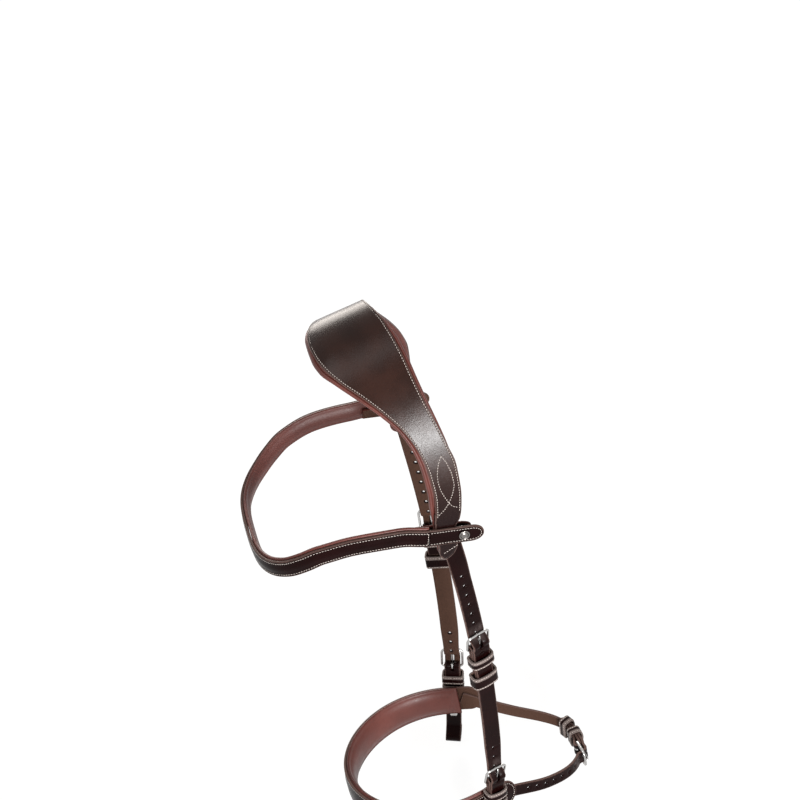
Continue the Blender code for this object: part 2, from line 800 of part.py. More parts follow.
def make_tongue(shop, name, buckle):
    line = tongue_line()
    points = [buckle.at(up, height) for up, height in line]
    radii = [1.0] * (len(points) - len(TONGUE_TIP_SHARES)) + list(TONGUE_TIP_SHARES)
    wire(shop, name, points, TONGUE, "hardware", origin=buckle.bar, radii=radii)


def tongue_height(up, lift):
    """The tongue's height above the path's depth at a distance up from the bar, when lifted."""
    tilt = frame_tilt() + lift
    ring = WIRE + GAP / 2 + TONGUE
    return BAR_AT + ring / math.cos(tilt) + up * math.tan(tilt)


def slot_span():
    """Where the tongue crosses the strap, at rest and lifted, measured up from the hinge bar."""
    lift = math.radians(TONGUE_LIFT_DEG)

    def reach(up):
        slope = (billet_depth(up + STEP) - billet_depth(up - STEP)) / (2 * STEP)
        return TONGUE / math.cos(frame_tilt()) + math.hypot(1.0, slope) * LEATHER / 2 + SLOT_CLEAR

    ups = [FRAME_LENGTH * i / PLAN_SAMPLES for i in range(PLAN_SAMPLES)]
    low = min(up for up in ups if tongue_height(up, lift) + reach(up) > billet_depth(up))
    high = max(up for up in ups if tongue_height(up, 0.0) - reach(up) < billet_depth(up))
    return low, high


def strap_holes(shop, name, strap, path_frame, bar_place, above, below, pitch=HOLE_PITCH):
    """The strap's row of holes, the one in use stretched round the tongue."""
    low, high = slot_span()
    middle = (low + high) / 2
    radius = TONGUE + SLOT_CLEAR
    places = []
    for i in range(-below, above + 1):
        up = middle + i * pitch
        frame = path_frame(bar_place - up)
        depth = billet_depth(up)
        if i == 0:
            places.append((frame, depth, radius, high - low - 2 * radius))
        else:
            places.append((frame, depth, HOLE_RADIUS, 0.0))
    cut(strap, round_cutter(shop, name, places, HOLE_CUT))


def fold_places(path_frame, bar_place):
    """Places of a turned-back end: from its hidden end up, round the hinge bar, and down the front."""
    def at(down, depth, share=1.0):
        return (path_frame(bar_place + down), depth, 0.0, share)

    places = [at(FOLD_RETURN * share, RETURN_AT) for share in FOLD_SHARES]
    bar = path_frame(bar_place)
    for i in range(FOLD_WRAP_STEPS + 1):
        angle = math.radians(FOLD_WRAP_DEG) * (i / FOLD_WRAP_STEPS - 1 / 2)
        depth = BAR_AT + FOLD_RADIUS * math.sin(angle)
        places.append((bar, depth, -FOLD_RADIUS * math.cos(angle), 1.0))
    places.append(at(FOLD_RETURN * FOLD_SHARES[-1], BILLET_AT))
    return places


def fold_slot(shop, name, strap, path_frame, bar_place):
    """The slot in the fold that the tongue's ring turns in."""
    width = 2 * (TONGUE + SLOT_CLEAR)
    size = (FOLD_SLOT_LENGTH, width, 2 * (FOLD_RADIUS + LEATHER))
    cutter = box_cutter(shop, name, path_frame(bar_place), BAR_AT, size)
    cut(strap, cutter)


def billet_places(path_frame, start, bar_place, tip, runs, narrow=1.0):
    """Places of a buckled strap from its start, through the buckle, to its pointed tip."""
    places = []
    top = bar_place - FRAME_LENGTH - WIRE
    for i in range(runs):
        place = start + (top - start) * i / runs
        share = 1 + (narrow - 1) * smooth_step(place, top - TAPER_RUN, top)
        places.append((path_frame(place), BILLET_AT, 0.0, share))
    for share in BEND_SHARES:
        up = FRAME_LENGTH * share
        places.append((path_frame(bar_place - up), billet_depth(up), 0.0, narrow))
    down = FRAME_LENGTH * -BEND_SHARES[-1]
    shoulder = tip - BILLET_TIP_LENGTH - bar_place
    for i in range(1, LAP_RUNS + 1):
        place = bar_place + down + (shoulder - down) * i / LAP_RUNS
        places.append((path_frame(place), OVER_STRAP_AT, 0.0, narrow))
    for along, share in TIP_SHARES:
        place = bar_place + shoulder + BILLET_TIP_LENGTH * along
        places.append((path_frame(place), OVER_STRAP_AT, 0.0, narrow * share))
    return places


def make_cheek(shop, word, side):
    """One cheek: billet, buckle, keepers, cheek strap, lower buckle, bit strap and its stud."""
    path = CheekPath(side)
    keeper_drop = UPPER_BAR_DROP + KEEPER_BELOW_BAR + FIXED_KEEPER_LENGTH / 2
    runner_drop = keeper_drop + (FIXED_KEEPER_LENGTH + RUNNER_LENGTH) / 2 + RUNNER_BELOW_KEEPER
    tip = runner_drop + RUNNER_LENGTH / 2

    places = billet_places(path.frame, -BILLET_LAP, UPPER_BAR_DROP, tip, 9)
    billet = ribbon(
        shop, "crown_billet_" + word, strap_rows(places, BILLET_WIDTH / 2), LEATHER, "strap_leather",
    )
    strap_holes(shop, "billet_holes_" + word, billet, path.frame, UPPER_BAR_DROP, HOLES_ABOVE, HOLES_BELOW)

    bit_keeper_drop = LOWER_BAR_DROP + KEEPER_BELOW_BAR + FIXED_KEEPER_LENGTH / 2
    loop_drop = bit_keeper_drop + (FIXED_KEEPER_LENGTH + LOOP_LENGTH) / 2 + LOOP_BELOW_KEEPER
    cheek_tip = loop_drop + LOOP_LENGTH / 2 + BILLET_TIP_LENGTH / 2
    places = fold_places(path.frame, UPPER_BAR_DROP)
    places += billet_places(
        path.frame, UPPER_BAR_DROP + FOLD_RETURN * FOLD_SHARES[-2], LOWER_BAR_DROP, cheek_tip, 7,
        narrow=BIT_WIDTH / CHEEK_WIDTH,
    )
    strap = ribbon(
        shop, "cheek_strap_" + word, strap_rows(places, CHEEK_WIDTH / 2), LEATHER, "strap_leather",
    )
    fold_slot(shop, "cheek_fold_slot_" + word, strap, path.frame, UPPER_BAR_DROP)
    strap_holes(shop, "cheek_holes_" + word, strap, path.frame, LOWER_BAR_DROP, CHEEK_HOLES_ABOVE, 0)

    upper = Buckle(path.frame, UPPER_BAR_DROP)
    make_buckle(shop, "cheek_buckle_" + word, upper, BILLET_WIDTH)
    make_tongue(shop, "cheek_tongue_" + word, upper)
    half = CHEEK_WIDTH / 2
    keeper(shop, "cheek_keeper_" + word, path.frame(keeper_drop), half + KEEPER_SPARE, FIXED_KEEPER_LENGTH)
    keeper(
        shop, "cheek_runner_" + word, path.frame(runner_drop), half + RUNNER_SPARE, RUNNER_LENGTH,
        rise=RUNNER_RISE,
    )

    lower = Buckle(path.frame, LOWER_BAR_DROP)
    make_buckle(shop, "bit_buckle_" + word, lower, BIT_WIDTH)
    make_tongue(shop, "bit_tongue_" + word, lower)
    half = BIT_WIDTH / 2
    keeper(shop, "bit_keeper_" + word, path.frame(bit_keeper_drop), half + KEEPER_SPARE, FIXED_KEEPER_LENGTH)
    keeper(shop, "noseband_loop_" + word, path.frame(loop_drop), half + KEEPER_SPARE, LOOP_LENGTH)
    make_bit_strap(shop, word, path)


def make_bit_strap(shop, word, path):
    """The strap below the lower buckle, turned up at its end into the bit loop and closed by a stud."""
    places = fold_places(path.frame, LOWER_BAR_DROP)
    loop_top = BIT_DROP - 2 * BIT_LOOP_RADIUS
    runs = 4
    first = LOWER_BAR_DROP + FOLD_SLOT_LENGTH
    for i in range(1, runs + 1):
        drop = first + (loop_top - first) * i / runs
        places.append((path.frame(drop), BILLET_AT, 0.0, 1.0))
    centre = BILLET_AT - LAYER / 2
    ring = BIT_LOOP_RADIUS + LEATHER / 2
    bottom = path.frame(BIT_DROP - BIT_LOOP_RADIUS)
    seat = BIT_SEAT_LENGTH / 2
    for degrees, half in BIT_LOOP_DEG:
        angle = math.radians(degrees)
        depth = centre + (ring - seat) * math.cos(angle) + seat * half
        places.append((bottom, depth, ring * math.sin(angle), 1.0))
    return_end = BIT_DROP - BIT_LAP - BIT_LOOP_RADIUS
    places.append((path.frame(loop_top), RETURN_AT, 0.0, 1.0))
    places.append((path.frame((loop_top + return_end) / 2), RETURN_AT, 0.0, 1.0))
    places.append((path.frame(return_end), RETURN_AT, 0.0, 1.0))
    strap = ribbon(shop, "bit_strap_" + word, strap_rows(places, BIT_WIDTH / 2), LEATHER, "strap_leather")
    fold_slot(shop, "bit_fold_slot_" + word, strap, path.frame, LOWER_BAR_DROP)

    stud_drop = loop_top - BIT_STUD_ABOVE
    frame = path.frame(stud_drop)
    hole = round_cutter(
        shop, "bit_stud_hole_" + word, [(frame, centre, STUD_RADIUS + GAP / 2, 0.0)],
        2 * LEATHER + CUT_OVERRUN,
    )
    cut(strap, hole)
    outer, inner = BILLET_AT + LEATHER / 2 + GAP, RETURN_AT - LEATHER / 2 - GAP
    back = inner - STUD_HEAD_HEIGHT
    profile = [
        (0.0, back), (STUD_HEAD * STUD_BACK_SHARE, back), (STUD_HEAD, inner), (STUD_RADIUS, inner),
        (STUD_RADIUS, outer),
    ]
    profile += [(STUD_HEAD * wide, outer + STUD_HEAD_HEIGHT * high) for wide, high in STUD_HEAD_SHARES]
    turned(shop, "bit_stud_" + word, profile, frame, "hardware")


# Browband


def brow_lift(length):
    """The browband's layers rise near their end, to pass over the crown."""
    return (TAB_AT - CROWN_LEATHER_AT) * (1 - smooth_step(length, BROW_END, BROW_END + BROW_RISE_RUN))


def brow_rows(width, depth_at, strips=1):
    rows = []
    for i in range(BROW_STATIONS):
        share = i / (BROW_STATIONS - 1)
        length = BROW_END + (BROW_HALF - BROW_END) * share
        frame = BROW.frame(length)
        depth = depth_at + brow_lift(length)
        row = [frame.at(depth, width * (j / strips - 0.5)) for j in range(strips + 1)]
        if i == BROW_STATIONS - 1:
            for point in row:
                point.x = 0.0
        rows.append(row)
    return rows


def make_browband(shop):
    rows = brow_rows(BROW_WIDTH, CROWN_LEATHER_AT)
    ribbon(shop, "browband_leather", rows, LEATHER, "strap_leather", half=True)
    rows = brow_rows(BROW_PAD_WIDTH, -GAP / 2 - BROW_PAD / 2)
    ribbon(
        shop, "browband_lining", rows, BROW_PAD, "lining_leather", edge=BROW_PAD * ROLL_SHARE, rounds=2,
        half=True,
    )


def tab_frame(length, side):
    """A frame on the tabs' straight run; length is towards the forehead, so it is negative to the rear."""
    along = Vector((0.0, -1.0, TAB_FALL)).normalized()
    out = Vector((side, 0.0, 0.0))
    across = Vector((0.0, TAB_FALL, 1.0)).normalized()
    return Frame(placed(BROW_REACH, -length, tab_height(length), side), along, across, out)


def snap_length():
    """Just clear of the crown's end, as the rear edge of its lining and the socket's rim allow."""
    rear = CROWN_WIDTH * read_table(PAD_EDGE_SHARES, 0.0)[1]
    return -(rear + GAP + SOCKET_RADIUS)


def rounded_strap(start, end, rounding, frame_of, depth, half_width, runs=5):
    """Rows of a flat strap from start to a rounded end."""
    forward = 1 if end > start else -1
    shoulder = end - forward * rounding
    rows = []
    for i in range(runs + 1):
        length = start + (shoulder - start) * i / runs
        frame = frame_of(length)
        rows.append([frame.at(depth, half_width * v) for v in (-1, 1)])
    for degrees in TAB_ROUND_DEG:
        angle = math.radians(degrees)
        length = shoulder + forward * rounding * math.sin(angle)
        frame = frame_of(length)
        rows.append([frame.at(depth, half_width * math.cos(angle) * v) for v in (-1, 1)])
    return rows


def hinge_point(side):
    """The outer edge of the stitch line across the browband's end, where the tab bends open."""
    return tab_frame(BROW_END - GAP / 2, side).at(TAB_AT + LEATHER / 2)


def make_tab(shop, word, side):
    """The outer tab with its snap cap, and the under tab with its stud."""
    def frame_of(length):
        return tab_frame(length, side)

    snap = snap_length()
    frame = frame_of(snap)
    hinge = hinge_point(side)
    half = BROW_WIDTH / 2
    rows = rounded_strap(BROW_END - GAP, snap - TAB_BEYOND_SNAP, TAB_ROUND, frame_of, TAB_AT, half)
    tab = ribbon(shop, "browband_tab_" + word, rows, LEATHER, "strap_leather", origin=hinge)
    hole = round_cutter(
        shop, "tab_snap_hole_" + word, [(frame, TAB_AT, SHANK_RADIUS + GAP / 2, 0.0)],
        LEATHER + CUT_OVERRUN,
    )
    cut(tab, hole)

    face, under = TAB_AT + LEATHER / 2 + GAP / 2, TAB_AT - LEATHER / 2 - GAP / 2
    mouth = under - SOCKET_HEIGHT
    profile = [
        (0.0, mouth + SOCKET_DEPTH), (SOCKET_BORE, mouth + SOCKET_DEPTH), (SOCKET_BORE, mouth),
        (SOCKET_RADIUS, mouth), (SOCKET_RADIUS, under), (SHANK_RADIUS, under), (SHANK_RADIUS, face),
    ]
    profile += [(CAP_RADIUS * wide, face + CAP_HEIGHT * high) for wide, high in CAP_SHARES]
    turned(shop, "snap_cap_" + word, profile, frame, "hardware")

    rows = rounded_strap(
        BROW_END + UNDER_TAB_LAP, snap - TAB_BEYOND_SNAP + TAB_ROUND / 2, TAB_ROUND, frame_of,
        UNDER_TAB_AT, UNDER_TAB_WIDTH / 2, runs=6,
    )
    under_tab = ribbon(shop, "browband_under_tab_" + word, rows, LEATHER, "strap_leather")
    hole = round_cutter(
        shop, "under_tab_hole_" + word, [(frame, UNDER_TAB_AT, STUD_NECK + GAP / 2, 0.0)],
        LEATHER + CUT_OVERRUN,
    )
    cut(under_tab, hole)
    inside, outside = UNDER_TAB_AT - LEATHER / 2 - GAP / 2, UNDER_TAB_AT + LEATHER / 2 + GAP / 2
    collar = mouth - GAP
    ball = SOCKET_BORE - GAP
    top = mouth + SOCKET_DEPTH - GAP
    profile = [
        (0.0, inside - FLANGE_HEIGHT), (FLANGE_RADIUS * FLANGE_BACK_SHARE, inside - FLANGE_HEIGHT),
        (FLANGE_RADIUS, inside), (STUD_NECK, inside), (STUD_NECK, outside), (COLLAR_RADIUS, outside),
        (COLLAR_RADIUS, collar), (ball, collar), (ball, top - ball * (1 - BALL_TOP_SHARE)),
        (ball * BALL_TOP_SHARE, top), (0.0, top),
    ]
    turned(shop, "snap_stud_" + word, profile, frame, "hardware")


# Noseband


def nose_rows(side_width, front_width, depth):
    """Rows of the noseband's half, from its tail behind the cheek strap to the nose."""
    rows = []
    for i in range(NOSE_STATIONS):
        length = NOSE.half * i / (NOSE_STATIONS - 1)
        frame = NOSE.frame(length)
        width = side_width + (front_width - side_width) * smooth_step(length, 0.0, NOSE.half)
        row = [frame.at(depth, width * (j / 2 - 0.5)) for j in range(3)]
        if i == NOSE_STATIONS - 1:
            for point in row:
                point.x = 0.0
        rows.append(row)
    return rows


def make_noseband(shop):
    frame = NOSE.frame(0.0)
    tail = []
    shoulder = NOSE_TAIL - NOSE_TAIL_ROUND
    for degrees in NOSE_TAIL_DEG:
        angle = math.radians(degrees)
        back = shoulder + NOSE_TAIL_ROUND * math.sin(angle)
        half = NOSE_WIDTH / 2 * math.cos(angle)
        tail.append([frame.at(0.0, half * v, -back) for v in (-1, 0, 1)])
    tail.append([frame.at(0.0, NOSE_WIDTH / 2 * v, -shoulder) for v in (-1, 0, 1)])
    rows = tail + nose_rows(NOSE_WIDTH, NOSE_FRONT_WIDTH, 0.0)
    ribbon(shop, "noseband_leather", rows, LEATHER, "strap_leather", half=True)

    depth = NOSE_PAD_AT - NOSE_LEATHER_AT
    extra = NOSE_PAD_WIDTH - NOSE_WIDTH
    start = [[frame.at(depth, NOSE_PAD_WIDTH / 2 * v, -PAD_PAST_CHEEK) for v in (-1, 0, 1)]]
    rows = start + nose_rows(NOSE_PAD_WIDTH, NOSE_FRONT_WIDTH + extra, depth)
    ribbon(
        shop, "noseband_lining", rows, NOSE_PAD, "lining_leather", edge=NOSE_PAD * ROLL_SHARE, rounds=2,
        half=True,
    )


def make_jaw(shop):
    """The jaw strap with its holes from the left, the buckle strap from the right."""
    bar = JAW.half - FRAME_LENGTH / 2
    keeper_at = bar + JAW_KEEPER_BELOW + JAW_KEEPER_LENGTH / 2
    runner_at = keeper_at + JAW_KEEPER_LENGTH + JAW_RUNNER_BELOW
    tip = bar + JAW_LAP

    def level(length):
        frame = JAW.frame(length)
        return Frame(frame.at(-BILLET_AT), frame.along, frame.across, frame.out)

    places = billet_places(level, JAW_START, bar, tip, 13)
    strap = ribbon(shop, "jaw_strap", strap_rows(places, JAW_WIDTH / 2), LEATHER, "strap_leather")
    strap_holes(shop, "jaw_holes", strap, level, bar, JAW_HOLES_ABOVE, 0, pitch=JAW_HOLE_PITCH)

    end = 2 * JAW.half - JAW_START
    places = fold_places(level, bar)
    runs = 16
    first = bar + FOLD_RETURN * FOLD_SHARES[-2]
    for i in range(runs + 1):
        places.append((level(first + (end - first) * i / runs), BILLET_AT, 0.0, 1.0))
    strap = ribbon(shop, "jaw_buckle_strap", strap_rows(places, JAW_WIDTH / 2), LEATHER, "strap_leather")
    fold_slot(shop, "jaw_fold_slot", strap, level, bar)

    buckle = Buckle(level, bar)
    make_buckle(shop, "jaw_buckle", buckle, JAW_WIDTH)
    make_tongue(shop, "jaw_tongue", buckle)
    half = JAW_WIDTH / 2
    keeper(shop, "jaw_keeper", level(keeper_at), half + KEEPER_SPARE, JAW_KEEPER_LENGTH)
    keeper(shop, "jaw_runner", level(runner_at), half + RUNNER_SPARE, JAW_KEEPER_LENGTH)


def main():
    clear_scene()
    shop = Workshop()
    make_crown(shop)
    make_browband(shop)
    make_noseband(shop)
    make_jaw(shop)
    for word, side in SIDES:
        make_tab(shop, word, side)
        make_cheek(shop, word, side)


if __name__ == "__main__":
    main()
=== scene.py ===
"""Dresses a horse bridle: leather, padded linings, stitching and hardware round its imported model.

Each strap is cut as a flat pattern and then laid along its path on the head, so its holes, grooves and
stitches follow every bend. Lengths are in metres, +Z up the head, the horse facing -Y, its left at +X.
"""

import bisect
import functools
import math

import bmesh
import bpy
import numpy as np
from bpy.props import FloatProperty, FloatVectorProperty, PointerProperty
from mathutils import Matrix, Vector


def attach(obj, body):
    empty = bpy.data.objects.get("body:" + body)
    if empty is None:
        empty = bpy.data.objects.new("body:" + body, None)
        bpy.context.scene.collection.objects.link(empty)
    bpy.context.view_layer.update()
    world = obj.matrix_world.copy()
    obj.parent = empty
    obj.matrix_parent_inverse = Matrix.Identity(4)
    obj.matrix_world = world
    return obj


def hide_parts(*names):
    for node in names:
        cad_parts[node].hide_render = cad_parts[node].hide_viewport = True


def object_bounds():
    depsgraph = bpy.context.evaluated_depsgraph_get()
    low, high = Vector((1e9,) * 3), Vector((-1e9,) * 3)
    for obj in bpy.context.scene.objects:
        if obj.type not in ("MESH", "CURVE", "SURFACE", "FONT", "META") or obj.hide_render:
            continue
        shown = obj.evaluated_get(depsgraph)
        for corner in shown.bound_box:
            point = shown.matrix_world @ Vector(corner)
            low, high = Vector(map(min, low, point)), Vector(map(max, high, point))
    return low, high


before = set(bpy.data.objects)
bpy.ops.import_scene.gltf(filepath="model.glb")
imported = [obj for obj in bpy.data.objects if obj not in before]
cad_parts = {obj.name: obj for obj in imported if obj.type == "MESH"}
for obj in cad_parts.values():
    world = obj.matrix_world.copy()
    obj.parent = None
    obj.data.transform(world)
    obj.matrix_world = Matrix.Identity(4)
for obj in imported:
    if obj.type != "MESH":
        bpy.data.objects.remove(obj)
CAD_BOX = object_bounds()

bl_info = {
    "name": "Bridle Dresser",
    "version": (1, 0, 0),
    "blender": (4, 5, 0),
    "location": "View3D > Sidebar > Bridle",
    "description": "Cuts, sews and buckles the leather of a horse bridle and lights it",
    "category": "Add Mesh",
}

LEFT, RIGHT = 1, -1
SIDES = (("left", LEFT), ("right", RIGHT))

# Leather, clearances and small steps
LEATHER = 0.0024
GAP = 0.0003
FIT = 0.00045
EDGE = 0.0006
STEP = 0.0001
PLAN_SAMPLES = 360
FEWEST_STEPS = 8
PLACE_DIGITS, TURN_DIGITS, COLUMN_DIGITS = 6, 7, 9
TINY, TINY_SQUARE = 1e-12, 1e-18
WELD = 1e-6

# Crown
CROWN_REACH = 0.0885
CROWN_RISE = 0.165
CROWN_WIDTH = 0.0645
CROWN_TILT = 0.2
CROWN_PAD = 0.0036
CROWN_PAD_THIN = 0.0016
CROWN_END_DROP = 0.022
CROWN_END_ROUND = 0.012
CROWN_END_SKEW = 0.003
POLL_FRONT_SHARE, POLL_REAR_SHARE = -1.07, -0.09
# Turn towards the poll, then the front and rear edges, as shares of the crown's width
LEATHER_EDGE_SHARES = (
    (-0.10, -0.186, 0.100), (0.03, -0.178, 0.112), (0.065, -0.163, 0.205), (0.11, -0.124, 0.260),
    (0.18, -0.090, 0.304), (0.26, -0.099, 0.315), (0.33, -0.144, 0.267), (0.42, -0.260, 0.197),
    (0.50, -0.419, 0.132), (0.60, -0.636, 0.073), (0.70, -0.847, 0.031), (0.80, -0.985, -0.015),
    (0.90, -1.050, -0.062), (1.00, POLL_FRONT_SHARE, POLL_REAR_SHARE),
)
PAD_EDGE_SHARES = (
    (-0.10, -0.206, 0.124), (0.03, -0.206, 0.130), (0.065, -0.195, 0.212), (0.11, -0.195, 0.258),
    (0.18, -0.174, 0.300), (0.26, -0.180, 0.310), (0.33, -0.217, 0.285), (0.42, -0.326, 0.233),
    (0.50, -0.488, 0.183), (0.60, -0.713, 0.133), (0.70, -0.915, 0.096), (0.80, -1.062, 0.050),
    (0.90, -1.110, -0.010), (1.00, -1.116, -0.040),
)
STEP_DOWN_START_SHARE, STEP_DOWN_END_SHARE = 0.20, 0.11
# How far the curve over the poll is followed, as a share of the way to the crown's end
PAST_END = 1.2
# How far the worn crown's leather and lining are trimmed inside their solids, and its front edge's curl
LEATHER_TRIM, PAD_TRIM = 0.0014, 0.0022
CROWN_CURL = 0.0042
CURL_START, CURL_RUN = -0.050, 0.019
# The crown is worn a little askew: beyond the poll it stands higher, and its rear edge turns in
ASKEW_GROWS, ASKEW_FADES = (-0.012, 0.040), (0.055, 0.125)
ASKEW_LIFT, ASKEW_TRIM, ASKEW_PAD_TRIM = 0.0045, 0.0130, 0.0016
# Length over which the lining's filling falls away above the billet
PAD_STEP_DOWN = 0.004

# Straps on the cheek
BILLET_WIDTH = 0.016
CHEEK_WIDTH = 0.0165
BIT_WIDTH = 0.0145
BILLET_LAP = 0.024
CHEEK_LEAD = 0.085
CHEEK_BOW_RADIUS = 1.50
CHEEK_LEAN = 0.045
LEAN_RUN = 0.030
CHEEK_TURN_DEG = 19.0
CHEEK_TURN_START, CHEEK_TURN_END = 0.023, 0.060
PLUMB_START, PLUMB_END = 0.180, 0.300
BILLET_TIP_LENGTH = 0.008
TAPER_RUN = 0.030
HOLE_RADIUS = 0.0012
HOLE_PITCH = 0.0115
JAW_HOLE_PITCH = 0.0092
HOLES_ABOVE, HOLES_BELOW = 7, 1
CHEEK_HOLES_ABOVE = 3
JAW_HOLES_ABOVE = 8
# How far to each side of the buckle's top bar a strap is rubbed and given a painted sheen:
# fully, then fading out
BEND_SPAN = (0.002, 0.013)

# Buckles
WIRE = 0.0014
FRAME_LENGTH = 0.017
FRAME_SPARE = 0.0024
FRAME_CORNER = 0.0035
FRAME_ARCH = 0.0010
TONGUE = 0.0010
TONGUE_REACH = 0.0020
TONGUE_LIFT_DEG = 5.0
TONGUE_WRAP_DEG = 255.0
HUMP_SHARE, HUMP_END_SHARE = 0.41, 0.92
HUMP_RISE = 0.0022
SLOT_CLEAR = 0.0004
FOLD_SLOT_LENGTH = 0.0115
FOLD_RETURN = 0.031
FOLD_START_SHARE = 0.26
FOLD_WRAP_DEG = 210.0
# The wire as drawn, as a share of the solid's, and the tongue's last radii as shares of its own
WIRE_SHARE = 0.82
TONGUE_TAPER = (0.96, 0.9, 0.78, 0.5)
# Steps round a wire or keeper corner, the tongue's ring and run, and the fold, and along other runs
CORNER_TURNS, RING_TURNS, TONGUE_RUNS, FOLD_TURNS = 8, 22, 14, 24
ARCH_STEP, KNOT_STEP, HUMP_STEP = 0.0018, 0.004, 0.0005
ROD_RESOLUTION = 5
UPPER_BAR_DROP = 0.1368
NOSE_HEIGHT_DROP = 0.3440
LOWER_BAR_DROP = NOSE_HEIGHT_DROP - 0.0360

# Keepers
KEEPER_WALL = 0.0017
KEEPER_CROWN = 0.0008
KEEPER_CORNER = 0.0040
KEEPER_RISE = 0.0010
KEEPER_SPARE = 0.0013
RUNNER_SPARE = 0.0022
RUNNER_RISE = 0.00035
FIXED_KEEPER_LENGTH = 0.0095
RUNNER_LENGTH = 0.0135
KEEPER_BELOW_BAR = 0.0110
RUNNER_BELOW_KEEPER = 0.0118
LOOP_BELOW_KEEPER = 0.0035
LOOP_LENGTH = 0.0130
# Samples of a keeper's line, how often it is smoothed, and where points lie over its outer face
LINE_SAMPLES, KEEPER_ROUNDS = 400, 3
FACE_SHARES = (0.75, 0.5, 0.25)

# Bit end
BIT_LOOP_RADIUS = 0.0080
BIT_SEAT_LENGTH = 0.0060
BIT_DROP = NOSE_HEIGHT_DROP + 0.0560
BIT_LAP = 0.034
BIT_STUD_ABOVE = 0.016
STUD_RADIUS = 0.0015
STUD_HEAD = 0.0040
STUD_HEAD_HEIGHT = 0.0012
# The bend of the bit loop, in degrees round it, and how often its course is smoothed
LOOP_DEGREES = range(20, 161, 5)
LOOP_ROUNDS = 3
# Profiles: a rim's height as a share of the radius, the angles that roll it, and steps up a dome
DOME_RIM, DOME_ANGLES = 0.12, (-1.3, -0.8, -0.3, 0.2, 0.7, 1.1)
RINGED_RIM, RINGED_ANGLES = 0.16, (-1.3, -0.8, -0.3, 0.2, 0.7, 1.2, 1.7, 2.2)
DOME_STEPS = 8
TURN_STEPS = 40
# Parts of a head that lie flat against the leather: its back, and the seat below its rim
BACK_SHARE, SEAT_SHARE = 0.8, 0.9

# Browband and its tabs
BROW_DEPTH = 0.1545
BROW_SQUARE = 3.2
BROW_WIDTH = 0.0160
BROW_PAD_WIDTH = 0.0186
BROW_PAD = 0.0046
BROW_END = 0.0165
BROW_RISE_RUN = 0.026
BROW_WAVE = 0.0155
BROW_WAVE_SHARES = (
    (-0.15, 0.05), (0.00, 0.24), (0.08, 0.46), (0.18, 0.78), (0.37, 1.00), (0.50, 0.72), (0.58, 0.24),
    (0.66, -0.25), (0.76, -0.62), (0.88, -0.82), (1.00, -0.88),
)
TAB_FALL = 0.20
TAB_BEYOND_SNAP = 0.0165
TAB_ROUND = 0.010
UNDER_TAB_LAP = 0.016
UNDER_TAB_WIDTH = 0.0140
CAP_RADIUS = 0.0046
CAP_HEIGHT = 0.0019
SHANK_RADIUS = 0.0015
SOCKET_RADIUS = 0.0033
SOCKET_HEIGHT = 0.0028
SOCKET_BORE = 0.0020
SOCKET_DEPTH = 0.0019
STUD_NECK = 0.0016
COLLAR_RADIUS = 0.0029
SOCKET_ROUND, SOCKET_FLARE = 0.0003, 0.0002
FLANGE_RADIUS = 0.0040
FLANGE_HEIGHT = 0.0009
# Profiles of the stud's flange and ball, as shares of their sizes
FLANGE_SHARES = ((0.0, 1.0), (0.7, 1.0), (0.93, 0.7), (1.0, 0.2))
BALL_SHARES = ((1.0, 0.4), (0.85, 0.12), (0.5, 0.0), (0.0, 0.0))
# The cap's groove: its foot as a share of the radius, then the groove's places as shares of the rim
GROOVE_FOOT, GROOVE_OUT, GROOVE_EDGE, GROOVE_LOW = 0.70, 0.15, 0.85, 0.80
GROOVE_BEND = 0.8
# The under tab's width as drawn, as a share of the solid's, and how far it is shortened
UNDER_TAB_TRIM, UNDER_TAB_SHORT = 0.64, 0.8

# Noseband and jaw straps
NOSE_WIDTH = 0.0300
NOSE_PAD_WIDTH = 0.0336
NOSE_FRONT_WIDTH = 0.0340
NOSE_PAD = 0.0060
NOSE_REACH = 0.118
NOSE_HANDLE, NOSE_FRONT_HANDLE = 0.070, 0.045
NOSE_CLEAR = 0.0007
NOSE_TAIL = 0.027
NOSE_TAIL_ROUND = 0.012
JAW_WIDTH = 0.0130
JAW_REACH = 0.100
JAW_HANDLE, JAW_REAR_HANDLE = 0.068, 0.040
JAW_DROP = 0.037
JAW_RAISE = 0.0055
JAW_DROP_SHARES = ((0.0, 0.0), (0.2, 0.3), (0.5, 0.75), (0.75, 0.94), (1.0, 1.0))
JAW_START = 0.0090
PAD_PAST_CHEEK = 0.0060
JAW_LAP = 0.040
JAW_KEEPER_LENGTH = 0.0080
JAW_KEEPER_BELOW = 0.0115
JAW_RUNNER_BELOW = 0.0060

# Layers, as depths of each piece's middle from its path
CROWN_LEATHER_AT = GAP / 2 + LEATHER / 2
CROWN_PAD_AT = -GAP / 2 - CROWN_PAD / 2
BILLET_AT = -GAP / 2 - LEATHER / 2
PAD_END_AT = -GAP / 2 - LEATHER - GAP - CROWN_PAD_THIN / 2
TAB_AT = GAP / 2 + LEATHER + GAP + LEATHER / 2
UNDER_TAB_AT = PAD_END_AT - CROWN_PAD_THIN / 2 - FIT - GAP - LEATHER / 2
LAYER = LEATHER + GAP
BAR_AT = BILLET_AT - LAYER / 2
RETURN_AT = BILLET_AT - LAYER
FOLD_RADIUS = WIRE + GAP / 2 + LEATHER / 2
OVER_BAR_AT = BAR_AT + FOLD_RADIUS + LAYER
OVER_STRAP_AT = BILLET_AT + LAYER
LOOP_INNER = RETURN_AT - LEATHER / 2 - FIT
NOSE_LEATHER_AT = LOOP_INNER - KEEPER_WALL - GAP - NOSE_CLEAR - LEATHER / 2
NOSE_PAD_AT = NOSE_LEATHER_AT - LAYER / 2 - NOSE_PAD / 2
JAW_AT = NOSE_LEATHER_AT - LAYER
